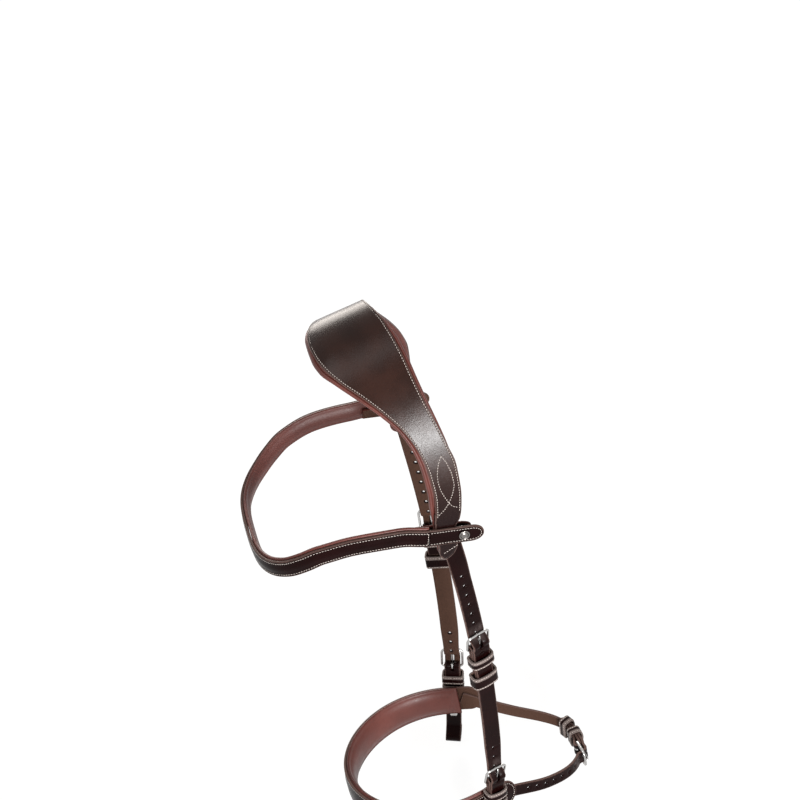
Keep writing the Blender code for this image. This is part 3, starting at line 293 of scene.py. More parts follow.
POLL_SEAT = Vector((
    0.0, CROWN_WIDTH * (POLL_FRONT_SHARE + POLL_REAR_SHARE) / 2, CROWN_RISE - GAP / 2 - CROWN_PAD,
))

# Flat patterns: shares of the rounding at an edge where its rows of faces meet
ROUND_SHARES = (0.0, 0.12, 0.45, 1.0)
SOFT_ROUND_SHARES = (0.0, 0.05, 0.17, 0.36, 0.62, 1.0)
# Columns of faces that a hole is punched from, as shares of its radius, and the rows beside it
HOLE_SHARES = (0.5, 1.0)
HOLE_ROWS = (0.0006, 0.0012, 0.0021)
RIM_POINTS = 24
# How far a pointed tip narrows and how sharply, and how far a blunt end does
TIP_SHARE, TIP_BEND = 0.86, 2.2
BLUNT_SHARE = 0.985
# How far a butted end is moved away before the distance from the bare edges is taken
BUTT_REACH = 0.010
# Columns over a fine end, the least gap between columns in steps, and the room that edge rows need
FINE_COLUMNS, COLUMN_GAP, ROW_ROOM = 10, 0.45, 1.25
DISTANCE_BATCH = 2000
# How far rows of faces lie inside the rounded edge, and inner rows as shares of what they leave
CROWN_RINGS = (0.0004, 0.0016, 0.0024, 0.0032)
CROWN_INNER = (-0.8, -0.6, -0.4, -0.2, 0.0, 0.2, 0.4, 0.6, 0.8)
CROWN_PAD_EDGE = 0.0016
CROWN_PAD_RINGS = (0.0005, 0.0010, 0.0016, 0.0022, 0.0030, 0.0042)
CROWN_STEP = 0.0035
BAND_RINGS = (0.0004, 0.0010, 0.0016, 0.0022, 0.0034)
BAND_INNER = (-0.5, 0.0, 0.5)
BAND_STEP = 0.0024
BAND_PAD_EDGE = 0.0013
BAND_PAD_RINGS = (0.0007, 0.0015, 0.0023, 0.0034)
TAB_RINGS = (0.0004, 0.0010, 0.0016, 0.0022)
NOSE_PAD_EDGE = 0.0025
NOSE_PAD_RINGS = (0.0008, 0.0018, 0.0028, 0.0044)
STRAP_RINGS = (0.0004, 0.0014)
STRAP_STEP = 0.0018
KEEPER_RINGS = (0.0003, 0.0008, 0.0016)
KEEPER_STEP = 0.0011
KEEPER_EDGE = 0.0005

# Padding: the bead along the crown lining's rim, then each lining's swell towards the horse
PAD_BEAD = (
    (0.0, 0.0), (0.0007, 0.0004), (0.0016, 0.0008), (0.0025, 0.0004), (0.0033, -0.0005), (0.0043, -0.0005),
    (0.0060, 0.0),
)
PAD_SWELL = (
    (0.0, 0.0), (0.0020, 0.0001), (0.0034, -0.0005), (0.0044, -0.0009), (0.0056, -0.0004), (0.0085, 0.0006),
    (0.0140, 0.0012), (0.0300, 0.0015),
)
BAND_SWELL = ((0.0, -0.0017), (0.0020, -0.0016), (0.0034, -0.0013), (0.0060, -0.0003), (0.0090, 0.0002))
# The noseband's swell beside the browband's: how soon it comes and how deep it is
NOSE_SWELL_REACH, NOSE_SWELL_GAIN = 0.8, 1.8
# How high the bands' leather rises over the padding, and where the rise starts and ends
BROW_RISE = (0.0007, 0.003, 0.008)
NOSE_RISE = (0.0010, 0.003, 0.010)

# Stitching: a stitch's share of the pitch, and how many are made at once, as a growing mesh is slow
STITCH_SHARE = 0.46
STITCH_BATCH = 16
THREAD_SIDES, THREAD_RINGS = 8, 5
# Where rows stop: above the browband, at the bands' ends, at the tab's butted end, where a keeper meets
CROWN_ROWS_STOP = 0.022
BAND_ROW_STOP, CROSS_ROW_STOP, TAB_ROW_STOP, KEEPER_ROW_STOP = 0.001, 0.0011, 0.0004, 0.0005
BAND_ROW_STEP, SHORT_ROW_STEP, OVAL_ROW_STEP = 0.002, 0.001, 0.0008
OVAL_ROUNDS = 6
# The pointed oval's arcs as heights above the browband's line and places across, then the row below it
OVAL_REAR = (
    (0.0765, 0.0082), (0.0700, 0.0112), (0.0600, 0.0133), (0.0490, 0.0134), (0.0410, 0.0100),
    (0.0340, 0.0057), (0.0290, 0.0008), (0.0250, -0.0050),
)
OVAL_FRONT = (
    (0.0765, 0.0082), (0.0700, 0.0045), (0.0630, 0.0020), (0.0560, 0.0010), (0.0470, 0.0016),
    (0.0400, 0.0036), (0.0340, 0.0057), (0.0295, 0.0085), (0.0280, 0.0120),
)
END_ROW = ((-0.0095, 0.0055), (-0.0150, -0.0075))

# Looks: width of the paler rim of cut leather, and of the bands along a keeper's two edges,
# where its pale cut edge is widened into a painted highlight, wider along the top
RIM, RIM_FADE = 0.0007, 0.0006
KEEPER_HIGHLIGHT_BAND, KEEPER_TOP_HIGHLIGHT_BAND = 0.0024, 0.0036
# Levels between which the crown's colour deepens towards its foot
FOOT_SPAN = (-0.150, -0.085)
# Heights of the leather's relief, then of the lining's, the thread's twist and the metal's scratches
GRAIN_DEPTH, PULL_DEPTH, FINE_DEPTH, FLESH_DEPTH = 0.000035, 0.00010, 0.00002, 0.00012
CREASE_DEPTH, CREASE_HALF = 0.00003, 0.00035
FOLD_DEPTH, SOFT_DEPTH, PEBBLE_DEPTH = 0.00022, 0.00005, 0.00005
TWIST_DEPTH, SCRATCH_DEPTH = 0.00006, 0.000004
# Worn line inside the edge: its place and half its width, and where the rubbing and painted sheen over a
# buckle start
WORN_LINE, RUBBED_SHEEN_FROM = (0.0008, 0.0007), 0.0030
FLESH_ROUGHNESS = 0.86
# Stitch grooves: half their width and their depth
CROWN_GROOVE, BAND_GROOVE, KEEPER_GROOVE = (0.0006, 0.00016), (0.0008, 0.0002), (0.0006, 0.00012)

# Studio: each lamp's place, what it faces, and its width and height; the far one is a little warm
KEY_LAMP = ((0.55, -0.75, 1.25), (0.06, 0.0, -0.25), (1.1, 1.1))
SIDE_LAMP = ((1.40, 0.16, -0.08), (0.08, 0.03, -0.10), (0.34, 0.30))
BACK_LAMP = ((-1.50, 0.10, 0.26), (0.0, -0.03, -0.02), (1.20, 0.80))
WHITE, BACK_TINT = (1.0, 1.0, 1.0), (1.0, 0.93, 0.86)
# Share of the floor that is plain white to the camera, growing outwards; the rest keeps the shadow
FLOOR_GLOW = 0.8
FLOOR_NEAR, FLOOR_FAR = 0.5, 1.2
FLOOR_BRIGHTNESS = 1.05
FLOOR_TONES = ((0.80, 0.80, 0.80), (0.84, 0.84, 0.84))
FLOOR_SEGMENTS = 64

# The photograph's view: from the near side, above, the camera leaning over
VIEW_AZIMUTH_DEG, VIEW_HEIGHT_DEG, VIEW_ROLL_DEG = 84.0, 42.0, -12.5
VIEW_DISTANCE = 2.0
VIEW_LENS_MM = 110.25
PICTURE = 800
BROW_CROSSING_PIXEL = (449.0, 536.0)
CLIP_START = 0.05


# Reading tables and curves


def read_table(table, at):
    """Reads each column of a table at a place along its first column, smoothly and with no overshoot."""
    keys = [row[0] for row in table]
    at = min(max(at, keys[0]), keys[-1])
    last = len(keys) - 1
    i = min(max(k for k in range(len(keys)) if keys[k] <= at), last - 1)
    width = keys[i + 1] - keys[i]
    share = (at - keys[i]) / width
    values = []
    for column in range(1, len(table[0])):
        rise = [
            (table[k + 1][column] - table[k][column]) / (keys[k + 1] - keys[k]) for k in range(last)
        ]
        slopes = []
        for k in (i, i + 1):
            if k == 0 or k == last or rise[k - 1] * rise[k] <= 0:
                slopes.append(0.0)
            else:
                slopes.append(2 * rise[k - 1] * rise[k] / (rise[k - 1] + rise[k]))
        low, high = table[i][column], table[i + 1][column]
        square, cube = share**2, share**3
        values.append(
            low * (2 * cube - 3 * square + 1) + high * (3 * square - 2 * cube)
            + width * (slopes[0] * (cube - 2 * square + share) + slopes[1] * (cube - square))
        )
    return values


def smooth_step(value, start, end):
    """0 as far as start and 1 from end on, eased between them."""
    share = min(max((value - start) / (end - start), 0.0), 1.0)
    return share * share * (3 - 2 * share)


def eased_run(value, start, end):
    """How far a slope that grows from nothing to one between start and end has climbed."""
    if value <= start:
        return 0.0
    if value < end:
        return (value - start) ** 2 / (2 * (end - start))
    return value - (start + end) / 2


def stations(start, end, step):
    """Evenly spaced places from start to end, about a step apart."""
    count = max(2, round(abs(end - start) / step))
    return [start + (end - start) * i / count for i in range(count + 1)]


def run_lengths(points):
    """The length along a flat line as far as each of its points."""
    return np.concatenate(([0.0], np.cumsum(np.hypot(*np.diff(points, axis=0).T))))


def read_line(points, lengths, at):
    """A flat line's points at lengths along it."""
    return np.column_stack([np.interp(at, lengths, points[:, n]) for n in (0, 1)])


def smoothed(line, rounds):
    """A flat line with each inner point moved to the mean of five, a number of times."""
    for _ in range(rounds):
        line[2:-2] = (line[:-4] + line[1:-3] + line[2:-2] + line[3:-1] + line[4:]) / 5
    return line


def headings(line):
    """A flat line's direction at each of its points."""
    slopes = np.gradient(line, axis=0)
    return slopes / np.linalg.norm(slopes, axis=1)[:, None]


def placed(x, y, z, side=LEFT):
    """A place on the head, counted from the browband's level, as the model's own."""
    return Vector((x * side, y, z)) - POLL_SEAT


class Frame:
    """A point of a path with its directions: along it, across the strap, and out of the horse."""

    def __init__(self, point, along, across, out):
        self.point, self.along, self.across, self.out = point, along, across, out

    def at(self, depth=0.0, across=0.0, along=0.0):
        return self.point + self.out * depth + self.across * across + self.along * along


class CheekPath:
    """Down the cheek: a place is the drop below the browband line, and above it the crown's curve."""

    def __init__(self, side):
        self.side = side

    def spot(self, drop):
        if drop <= 0:
            x = CROWN_REACH * math.sqrt(1 - (drop / CROWN_RISE) ** 2)
        else:
            lean = eased_run(drop, 0.0, LEAN_RUN) - eased_run(drop, PLUMB_START, PLUMB_END)
            x = CROWN_REACH - CHEEK_LEAN * lean
        held = max(drop, 0.0)
        y = CHEEK_LEAD * held - held * held / (2 * CHEEK_BOW_RADIUS)
        return placed(x, y, -drop, self.side)

    def frame(self, drop):
        along = (self.spot(drop + STEP) - self.spot(drop - STEP)).normalized()
        turn = math.radians(CHEEK_TURN_DEG) * smooth_step(drop, CHEEK_TURN_START, CHEEK_TURN_END)
        outward = Vector((self.side * math.cos(turn), math.sin(turn), 0.0))
        out = (outward - along * outward.dot(along)).normalized()
        across = out.cross(along) * self.side
        return Frame(self.spot(drop), along, across, out)


def squared_half(reach, depth, square):
    """Plan of half a ring round the forehead: a squared ellipse from the cheek line to the middle."""
    spots = []
    for i in range(PLAN_SAMPLES + 1):
        angle = math.pi / 2 * i / PLAN_SAMPLES
        spots.append((
            reach * abs(math.cos(angle)) ** (2 / square), -depth * abs(math.sin(angle)) ** (2 / square),
        ))
    return spots


def bent_half(start, heading, reach, handle, end_handle):
    """Plan of half a ring: one bent line from a strap on the cheek, square to the middle at its end."""
    knots = (
        start, (start[0] + heading[0] * handle, start[1] + heading[1] * handle),
        (end_handle, start[1] + reach), (0.0, start[1] + reach),
    )
    spots = []
    for i in range(PLAN_SAMPLES + 1):
        t = i / PLAN_SAMPLES
        shares = ((1 - t) ** 3, 3 * t * (1 - t) ** 2, 3 * t * t * (1 - t), t**3)
        spots.append(tuple(sum(share * knot[n] for share, knot in zip(shares, knots)) for n in (0, 1)))
    return spots


class LevelPath:
    """Round the head at one level: a place is the length from the cheek line, to the middle and on."""

    def __init__(self, half, height, ahead=-1):
        self.height, self.ahead = height, ahead
        self.spots = half + [(-x, y) for x, y in reversed(half[:-1])]
        self.lengths = [0.0]
        for (x0, y0), (x1, y1) in zip(self.spots, self.spots[1:]):
            self.lengths.append(self.lengths[-1] + math.hypot(x1 - x0, y1 - y0))
        self.half = self.lengths[-1] / 2

    def spot(self, length):
        low = min(max(bisect.bisect_right(self.lengths, length) - 1, 0), len(self.spots) - 2)
        (x0, y0), (x1, y1) = self.spots[low:low + 2]
        share = (length - self.lengths[low]) / (self.lengths[low + 1] - self.lengths[low])
        height = self.height(min(length, self.lengths[-1] - length), self.half)
        return x0 + share * (x1 - x0), y0 + share * (y1 - y0), height

    def frame(self, length):
        here = placed(*self.spot(length))
        wide = self.half / PLAN_SAMPLES * 2
        along = placed(*self.spot(length + wide)) - placed(*self.spot(length - wide))
        along.normalize()
        flat = Vector((along.x, along.y, 0.0)).normalized()
        out = Vector((flat.y, -flat.x, 0.0)) * self.ahead
        across = along.cross(out)
        if across.z < 0:
            across.negate()
        return Frame(here, along, across, out)


def brow_height(length, half):
    return BROW_WAVE * read_table(BROW_WAVE_SHARES, length / half)[0]


def jaw_height(length, half):
    return JAW_RAISE - NOSE_HEIGHT_DROP - JAW_DROP * read_table(JAW_DROP_SHARES, length / half)[0]


def nose_height(length, half):
    return -NOSE_HEIGHT_DROP


def ring_half(depth, ahead, reach, handle, end_handle):
    """Half a ring that leaves the cheek strap's line at a depth, in the strap's own plane."""
    spot = CheekPath(LEFT).frame(NOSE_HEIGHT_DROP)
    start = spot.at(depth) + POLL_SEAT
    heading = Vector((spot.across.x, spot.across.y)).normalized() * ahead
    return bent_half((start.x, start.y), heading, ahead * reach, handle, end_handle)


def run_on(path, length, margin=0.0, depth=0.0):
    """A level path's frame at a depth, carried straight on past its ends."""
    held = min(max(length, margin), 2 * path.half - margin)
    here = path.frame(held)
    return Frame(here.at(depth) + here.along * (length - held), here.along, here.across, here.out)


BROW = LevelPath(squared_half(CROWN_REACH, BROW_DEPTH, BROW_SQUARE), brow_height)
NOSE = LevelPath(
    ring_half(NOSE_LEATHER_AT, -1, NOSE_REACH, NOSE_HANDLE, NOSE_FRONT_HANDLE), nose_height,
)
JAW = LevelPath(ring_half(JAW_AT, 1, JAW_REACH, JAW_HANDLE, JAW_REAR_HANDLE), jaw_height, ahead=1)
nose_level = functools.partial(run_on, NOSE)
jaw_level = functools.partial(run_on, JAW, margin=JAW.half / PLAN_SAMPLES * 2, depth=-BILLET_AT)
# The jaw buckle's hinge bar: its frame has the middle of the jaw strap in it
JAW_BAR = JAW.half - FRAME_LENGTH / 2


def remembered(path_frame):
    """The same frames, worked out once for each place."""
    held = functools.lru_cache(maxsize=None)(path_frame)
    return lambda place: held(round(place, PLACE_DIGITS))


def flat_lay(path_frame, depth_of):
    """Lays a flat pattern along a path, its height counted from the depth at each place."""
    frame_of = remembered(path_frame)

    def lay(x, y, z):
        here = frame_of(x)
        return here.at(depth_of(x) + z, y)

    return lay


class Course:
    """A line that a strap's middle follows in a path's (place, depth) plane, read by its own length."""

    STEP = 0.00025

    def __init__(self, path_frame, knots, smoothing=2):
        self.frame_of = remembered(path_frame)
        knots = np.array(knots, float)
        lengths = run_lengths(knots)
        self.length = float(lengths[-1])
        count = max(FEWEST_STEPS, round(self.length / self.STEP))
        self.at = np.linspace(0.0, self.length, count + 1)
        self.line = smoothed(read_line(knots, lengths, self.at), smoothing)
        self.slopes = headings(self.line)

    def spot(self, s):
        place, depth = (float(np.interp(s, self.at, self.line[:, n])) for n in (0, 1))
        run, rise = (float(np.interp(s, self.at, self.slopes[:, n])) for n in (0, 1))
        over = min(s, 0.0) + max(s - self.length, 0.0)
        return place + run * over, depth + rise * over, run, rise

    def lay(self, x, y, z):
        """A flat pattern's point on the course: x along it, y across the strap, z through it."""
        place, depth, run, rise = self.spot(x)
        here = self.frame_of(place)
        return here.at(depth + z * run, y, -z * rise)

    def length_at(self, place, last=True):
        """How far along the course it passes a place of the path, for the last time or the first."""
        steps = np.nonzero(np.diff(np.sign(self.line[:, 0] - place)))[0]
        return float(self.at[steps[-1 if last else 0]])


# Crown


def crown_profile(turn):
    """The crown's curve over the poll: the point and the outward direction at a share of the turn."""
    if turn < 0:
        drop = -turn * CROWN_RISE * math.pi / 2
        path = CheekPath(LEFT)
        point, next_point = path.spot(drop), path.spot(drop - STEP)
        along = (next_point - point).normalized()
        point = point + POLL_SEAT
        return point.x, point.z, along.z, -along.x
    angle = turn * math.pi / 2
    x, z = CROWN_REACH * math.cos(angle), CROWN_RISE * math.sin(angle)
    nx, nz = math.cos(angle) / CROWN_REACH, math.sin(angle) / CROWN_RISE
    size = math.hypot(nx, nz)
    return x, z, nx / size, nz / size


def askew(x):
    """How far the crown, worn a little askew, is shifted at a length beyond the poll: from 0 to 1."""
    return smooth_step(x, *ASKEW_GROWS) * (1.0 - smooth_step(x, *ASKEW_FADES))


class CrownPath:
    """Over the poll: x is the length from the poll's middle, towards the left cheek below nought."""

    SAMPLES = 500

    def __init__(self):
        self.low = -CROWN_END_DROP / (CROWN_RISE * math.pi / 2)
        self.turns = np.linspace(1.0, self.low * PAST_END, self.SAMPLES)
        self.lengths = run_lengths(np.array([crown_profile(turn)[:2] for turn in self.turns]))
        self.reach = self.length(self.low)
        self.profile = functools.lru_cache(maxsize=None)(crown_profile)

    def turn(self, x):
        return round(float(np.interp(abs(x), self.lengths, self.turns)), TURN_DIGITS)

    def length(self, turn):
        return float(np.interp(-turn, -self.turns, self.lengths))

    def lay(self, x, y, depth):
        turn = self.turn(x)
        px, pz, nx, nz = self.profile(turn)
        lift = CROWN_TILT * (y - POLL_SEAT.y) * max(math.sin(turn * math.pi / 2), 0.0) ** 2
        lift += ASKEW_LIFT * askew(x)
        depth -= CROWN_CURL * max((CURL_START - y) / CURL_RUN, 0.0) ** 2
        return placed(px + nx * depth, y, pz + nz * depth + lift, LEFT if x <= 0 else RIGHT)

    def edges(self, table, x):
        """The crown's front and rear edge at a length from the poll, rounded off at its end."""
        turn = self.turn(x)
        front, rear = (CROWN_WIDTH * share for share in read_table(table, turn))
        rear -= (ASKEW_TRIM + (ASKEW_PAD_TRIM if table is PAD_EDGE_SHARES else 0.0)) * askew(x)
        start = self.low * (1 - CROWN_END_ROUND / CROWN_END_DROP)
        if turn < start:
            part = min((turn - start) / (self.low - start), 1.0)
            middle, half = (front + rear) / 2 - CROWN_END_SKEW * part, (rear - front) / 2
            half *= math.sqrt(max(1 - part * part, 0.0))
            front, rear = middle - half, middle + half
        return front, rear


CROWN = CrownPath()


def pad_thin(turn):
    """1 where the lining is thin over the billet, 0 where it is full."""
    return smooth_step(-turn, -STEP_DOWN_START_SHARE, -STEP_DOWN_END_SHARE)


# Flat patterns


def strap_edges(start, end, half_width, tip=0.0, narrow=None, round_start=0.0, round_end=0.0):
    """A strap's two edges over its length, with a point or a round at an end where it is asked for."""
    wide = narrow or (lambda x: half_width)

    def edges(x):
        half = wide(x)
        if tip and x > end - tip:
            half *= 1 - TIP_SHARE * min((x - end + tip) / tip, 1.0) ** TIP_BEND
        if round_end and x > end - round_end:
            half *= math.sqrt(1 - (BLUNT_SHARE * min((x - end + round_end) / round_end, 1.0)) ** 2)
        if round_start and x < start + round_start:
            half *= math.sqrt(1 - (BLUNT_SHARE * min((start + round_start - x) / round_start, 1.0)) ** 2)
        return -half, half

    return edges


class Hole:
    """A round hole in a strap's middle, stretched along it where the tongue passes."""

    def __init__(self, place, radius, slot=0.0):
        self.place, self.radius, self.slot = place, radius, slot / 2
        self.reach = self.slot + radius

    def columns(self, step):
        ends = [self.slot + self.radius * share for share in (0.0, *HOLE_SHARES)]
        inner = stations(-self.slot, self.slot, step)[1:-1] if self.slot > step else [0.0]
        return sorted({round(self.place + x, COLUMN_DIGITS) for x in (*inner, *ends, *(-x for x in ends))})

    def rim(self, x, row):
        """Where a vertex of the punched block's border lies on the hole's rim; row is a share of it."""
        over = abs(x - self.place) - self.slot
        if over <= STEP / 100:
            return x, math.copysign(self.radius, row)
        angle = math.atan2(row, over / self.radius)
        way = math.copysign(1.0, x - self.place)
        return self.place + way * (self.slot + self.radius * math.cos(angle)), self.radius * math.sin(angle)

    def outline(self):
        points = []
        for i in range(RIM_POINTS):
            angle = 2 * math.pi * (i + 0.5) / RIM_POINTS
            points.append((
                self.place + self.radius * math.cos(angle) + math.copysign(self.slot, math.cos(angle)),
                self.radius * math.sin(angle),
            ))
        return points


class Pattern:
    """A flat piece of leather: its edges over its length, and the lines that its faces meet along."""

    def __init__(
        self, start, end, edges, step, edge=EDGE, rings=(), inner=(0.0,), holes=(), fine=(0.0, 0.0),
        looped=False, butted=(),
    ):
        self.edges, self.edge, self.holes, self.inner = edges, edge, holes, inner
        self.looped, self.butted = looped, butted
        shares = SOFT_ROUND_SHARES if edge > 2 * EDGE else ROUND_SHARES
        self.offsets = [edge * share for share in shares] + [edge + ring for ring in rings]
        self.columns = [hole.columns(step) for hole in holes]
        places = [x for columns in self.columns for x in columns]
        extra = [start, end]
        for hole in holes:
            extra += [hole.place - hole.reach - edge, hole.place + hole.reach + edge]
        for place, way, length in ((start, 1, fine[0]), (end, -1, fine[1])):
            extra += [place + way * offset for offset in self.offsets]
            if length:
                turns = [math.pi / 2 * i / FINE_COLUMNS for i in range(1, FINE_COLUMNS + 1)]
                extra += [place + way * length * (1 - math.cos(turn)) for turn in turns]
        for group, gap in ((extra, STEP / 2), (stations(start, end, step), step * COLUMN_GAP)):
            for x in group:
                clear = all(abs(x - hole.place) > hole.reach for hole in holes)
                if clear and all(abs(x - place) > gap for place in places):
                    places.append(x)
        self.places = sorted(places)
        self.middle = (start + end) / 2

    def across(self, x):
        """The places of the rows across the piece at one place along it."""
        low, high = self.edges(x)
        middle, half = (low + high) / 2, (high - low) / 2
        squeeze = min(1.0, half / (self.offsets[-1] * ROW_ROOM))
        sides = [half - offset * squeeze for offset in self.offsets]
        rows = [-y for y in sides] + [share * sides[-1] for share in self.inner] + sides[::-1]
        return [middle + y for y in rows]

    def outline(self):
        ends = [(x, *self.edges(x)) for x in self.places]
        return [(x, high) for x, low, high in ends] + [(x, low) for x, low, high in reversed(ends)]

    def bare_outline(self):
        """The outline without the ends that butt against another piece, where no cut edge shows."""
        away = {x: math.copysign(BUTT_REACH, x - self.middle) for x in self.butted}
        return [(x + away.get(x, 0.0), y) for x, y in self.outline()]

    def cut(self):
        """The flat sheet: a grid drawn to the edges, with its holes punched."""
        bm = bmesh.new()
        rows = len(self.across(self.middle))
        bmesh.ops.create_grid(bm, x_segments=len(self.places) - 1, y_segments=rows - 1, size=1.0)
        columns = sorted({round(v.co.x, PLACE_DIGITS) for v in bm.verts})
        lines = sorted({round(v.co.y, PLACE_DIGITS) for v in bm.verts})
        if (len(columns), len(lines)) != (len(self.places), rows):
            raise ValueError("the grid doesn't match the pattern")
        column_of = {x: i for i, x in enumerate(columns)}
        line_of = {y: j for j, y in enumerate(lines)}
        tables = [self.across(x) for x in self.places]
        found = {}
        for vert in bm.verts:
            i, j = (table[round(at, PLACE_DIGITS)] for table, at in zip((column_of, line_of), vert.co))
            found[i, j] = vert
            vert.co = (self.places[i], tables[i][j], 0.0)
        centre, reach = rows // 2, len(HOLE_SHARES)
        for hole, block in zip(self.holes, self.columns):
            first, last = (self.places.index(x) for x in (block[0], block[-1]))
            inside = set()
            for i in range(first, last + 1):
                for j in range(centre - reach, centre + reach + 1):
                    inside.add(found[i, j])
                    if i in (first, last) or abs(j - centre) == reach:
                        found[i, j].co.xy = hole.rim(self.places[i], (j - centre) / reach)
            punched = [f for f in bm.faces if all(v in inside for v in f.verts)]
            bmesh.ops.delete(bm, geom=punched, context="FACES")
        return bm


def holed_rows(half_width, rings):
    """Inner rows of a strap that holes are punched in, as shares of what its edge rows leave."""
    left = half_width - EDGE - rings[-1]
    shares = [row / left for row in HOLE_ROWS]
    return (*(-share for share in reversed(shares)), 0.0, *shares)


def edge_distance(points, outline):
    """How far flat points lie from an outline."""
    points = np.asarray(points)
    first = np.array(outline)
    second = np.roll(first, -1, axis=0)
    run = second - first
    size = np.maximum((run**2).sum(1), TINY_SQUARE)
    best = np.full(len(points), np.inf)
    for start in range(0, len(points), DISTANCE_BATCH):
        part = points[start:start + DISTANCE_BATCH, None, :]
        share = np.clip(((part - first) * run).sum(2) / size, 0.0, 1.0)
        gap = np.linalg.norm(part - first - share[..., None] * run, axis=2)
        best[start:start + DISTANCE_BATCH] = gap.min(1)
    return best


def inset_line(points, distance, closed=False):
    """A line moved sideways: to its left for a distance above nought."""
    line = np.array(points, float)
    if closed:
        run = np.roll(line, -1, axis=0) - np.roll(line, 1, axis=0)
    else:
        run = np.gradient(line, axis=0)
    run /= np.maximum(np.linalg.norm(run, axis=1)[:, None], TINY)
    return line + np.column_stack((-run[:, 1], run[:, 0])) * distance


def thicken(bm, pattern, thickness):
    """Gives the flat sheet its thickness and rounded edges, and marks it for the materials.

    Each point keeps its flat place, its distance from a bare cut edge and its height. The distances from
    the outline come back.
    """
    bmesh.ops.solidify(bm, geom=bm.faces[:], thickness=thickness)
    flat = [(v.co.x, v.co.y) for v in bm.verts]
    if pattern.looped:
        sides = [(y, *pattern.edges(x)) for x, y in flat]
        gaps = np.array([max(min(y - low, high - y), 0.0) for y, low, high in sides])
    else:
        gaps = edge_distance(flat, pattern.outline())
    bared = edge_distance(flat, pattern.bare_outline()) if pattern.butted else gaps
    rims = gaps
    for hole in pattern.holes:
        rims = np.minimum(rims, edge_distance(flat, hole.outline()))
    heights = [v.co.z for v in bm.verts]
    level = (min(heights) + max(heights)) / 2
    gap_layer = bm.verts.layers.float.new("edge")
    height_layer = bm.verts.layers.float.new("height")
    uv_layer = bm.loops.layers.uv.new("pattern")
    edge = pattern.edge
    for vert, gap, rim in zip(bm.verts, bared, rims):
        fall = edge - math.sqrt(edge**2 - max(edge - rim, 0.0) ** 2)
        vert.co.z = math.copysign(thickness / 2 - fall, vert.co.z - level)
        vert[gap_layer] = float(gap)
        vert[height_layer] = vert.co.z / (thickness / 2)
    for face in bm.faces:
        face.smooth = True
        for loop in face.loops:
            loop[uv_layer].uv = (loop.vert.co.x, loop.vert.co.y)
    return gaps


def finished(name, bm, material, body, replaced=()):
    """Turns a bmesh into a piece of the bridle that rides on a body."""
    mesh = bpy.data.meshes.new(name)
    bm.to_mesh(mesh)
    bm.free()
    item = bpy.data.objects.new(name, mesh)
    bpy.context.scene.collection.objects.link(item)
    mesh.materials.append(material)
    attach(item, body)
    if replaced:
        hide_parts(*replaced)
    return item


def leather_piece(
    name, pattern, lay, look, body="crown", solid=None, thickness=LEATHER, shape=None, bend=None,
):
    """Cuts a flat pattern, thickens it and lays it where it goes, in place of the solid of its name.

    The shape changes a point's height by its distance from the outline; bend is where the strap bends over
    a buckle, where it is rubbed and given a painted sheen.
    """
    bm = pattern.cut()
    gaps = thicken(bm, pattern, thickness)
    if bend is not None:
        bend_layer = bm.verts.layers.float.new("bend")
        for vert in bm.verts:
            vert[bend_layer] = 1.0 - smooth_step(abs(vert.co.x - bend), *BEND_SPAN)
    for vert, gap in zip(bm.verts, gaps):
        x, y, z = vert.co
        if shape:
            z = shape(z, float(gap))
        vert.co = lay(x, y, z)
    bmesh.ops.recalc_face_normals(bm, faces=bm.faces)
    return finished(name, bm, finish(look), body, (solid or name,))


# Stitching


def stitch_row(line, pitch):
    """Places of the stitches along a flat line: the middle, the direction and half the length of each."""
    line = np.array(line, float)
    lengths = run_lengths(line)
    count = max(1, round(lengths[-1] / pitch))
    step = lengths[-1] / count
    found = []
    for i in range(count):
        ends = [(i + 0.5 + side * STITCH_SHARE / 2) * step for side in (-1, 1)]
        (x0, y0), (x1, y1) = read_line(line, lengths, ends)
        run, rise = x1 - x0, y1 - y0
        found.append(((x0 + x1) / 2, (y0 + y1) / 2, math.atan2(rise, run), math.hypot(run, rise) / 2))
    return found


def sewn(name, rows, lay, height=LEATHER / 2, body="crown"):
    """Stitches as short threads laid on the leather's face, each slanted and sunk at its ends."""
    sewing = bpy.context.scene.bridle_sewing
    radius = sewing.thread / 2
    lengthways = Matrix.Rotation(math.pi / 2, 4, "Y")
    whole = bmesh.new()
    stitches = [stitch for row in rows for stitch in stitch_row(row, sewing.pitch)]
    for start in range(0, len(stitches), STITCH_BATCH):
        bm = bmesh.new()
        for x, y, heading, half in stitches[start:start + STITCH_BATCH]:
            place = (
                Matrix.Translation((x, y, height - radius * sewing.sink))
                @ Matrix.Rotation(heading + sewing.slant, 4, "Z")
                @ Matrix.Diagonal((half + radius, radius, radius, 1.0))
            )
            bmesh.ops.create_uvsphere(
                bm, u_segments=THREAD_SIDES, v_segments=THREAD_RINGS, radius=1.0, matrix=place @ lengthways,
            )
        part = bpy.data.meshes.new("row")
        bm.to_mesh(part)
        bm.free()
        whole.from_mesh(part)
        bpy.data.meshes.remove(part)
    for vert in whole.verts:
        vert.co = lay(*vert.co)
    for face in whole.faces:
        face.smooth = True
    bmesh.ops.recalc_face_normals(whole, faces=whole.faces)
    return finished(name, whole, finish("thread"), body)


# Materials


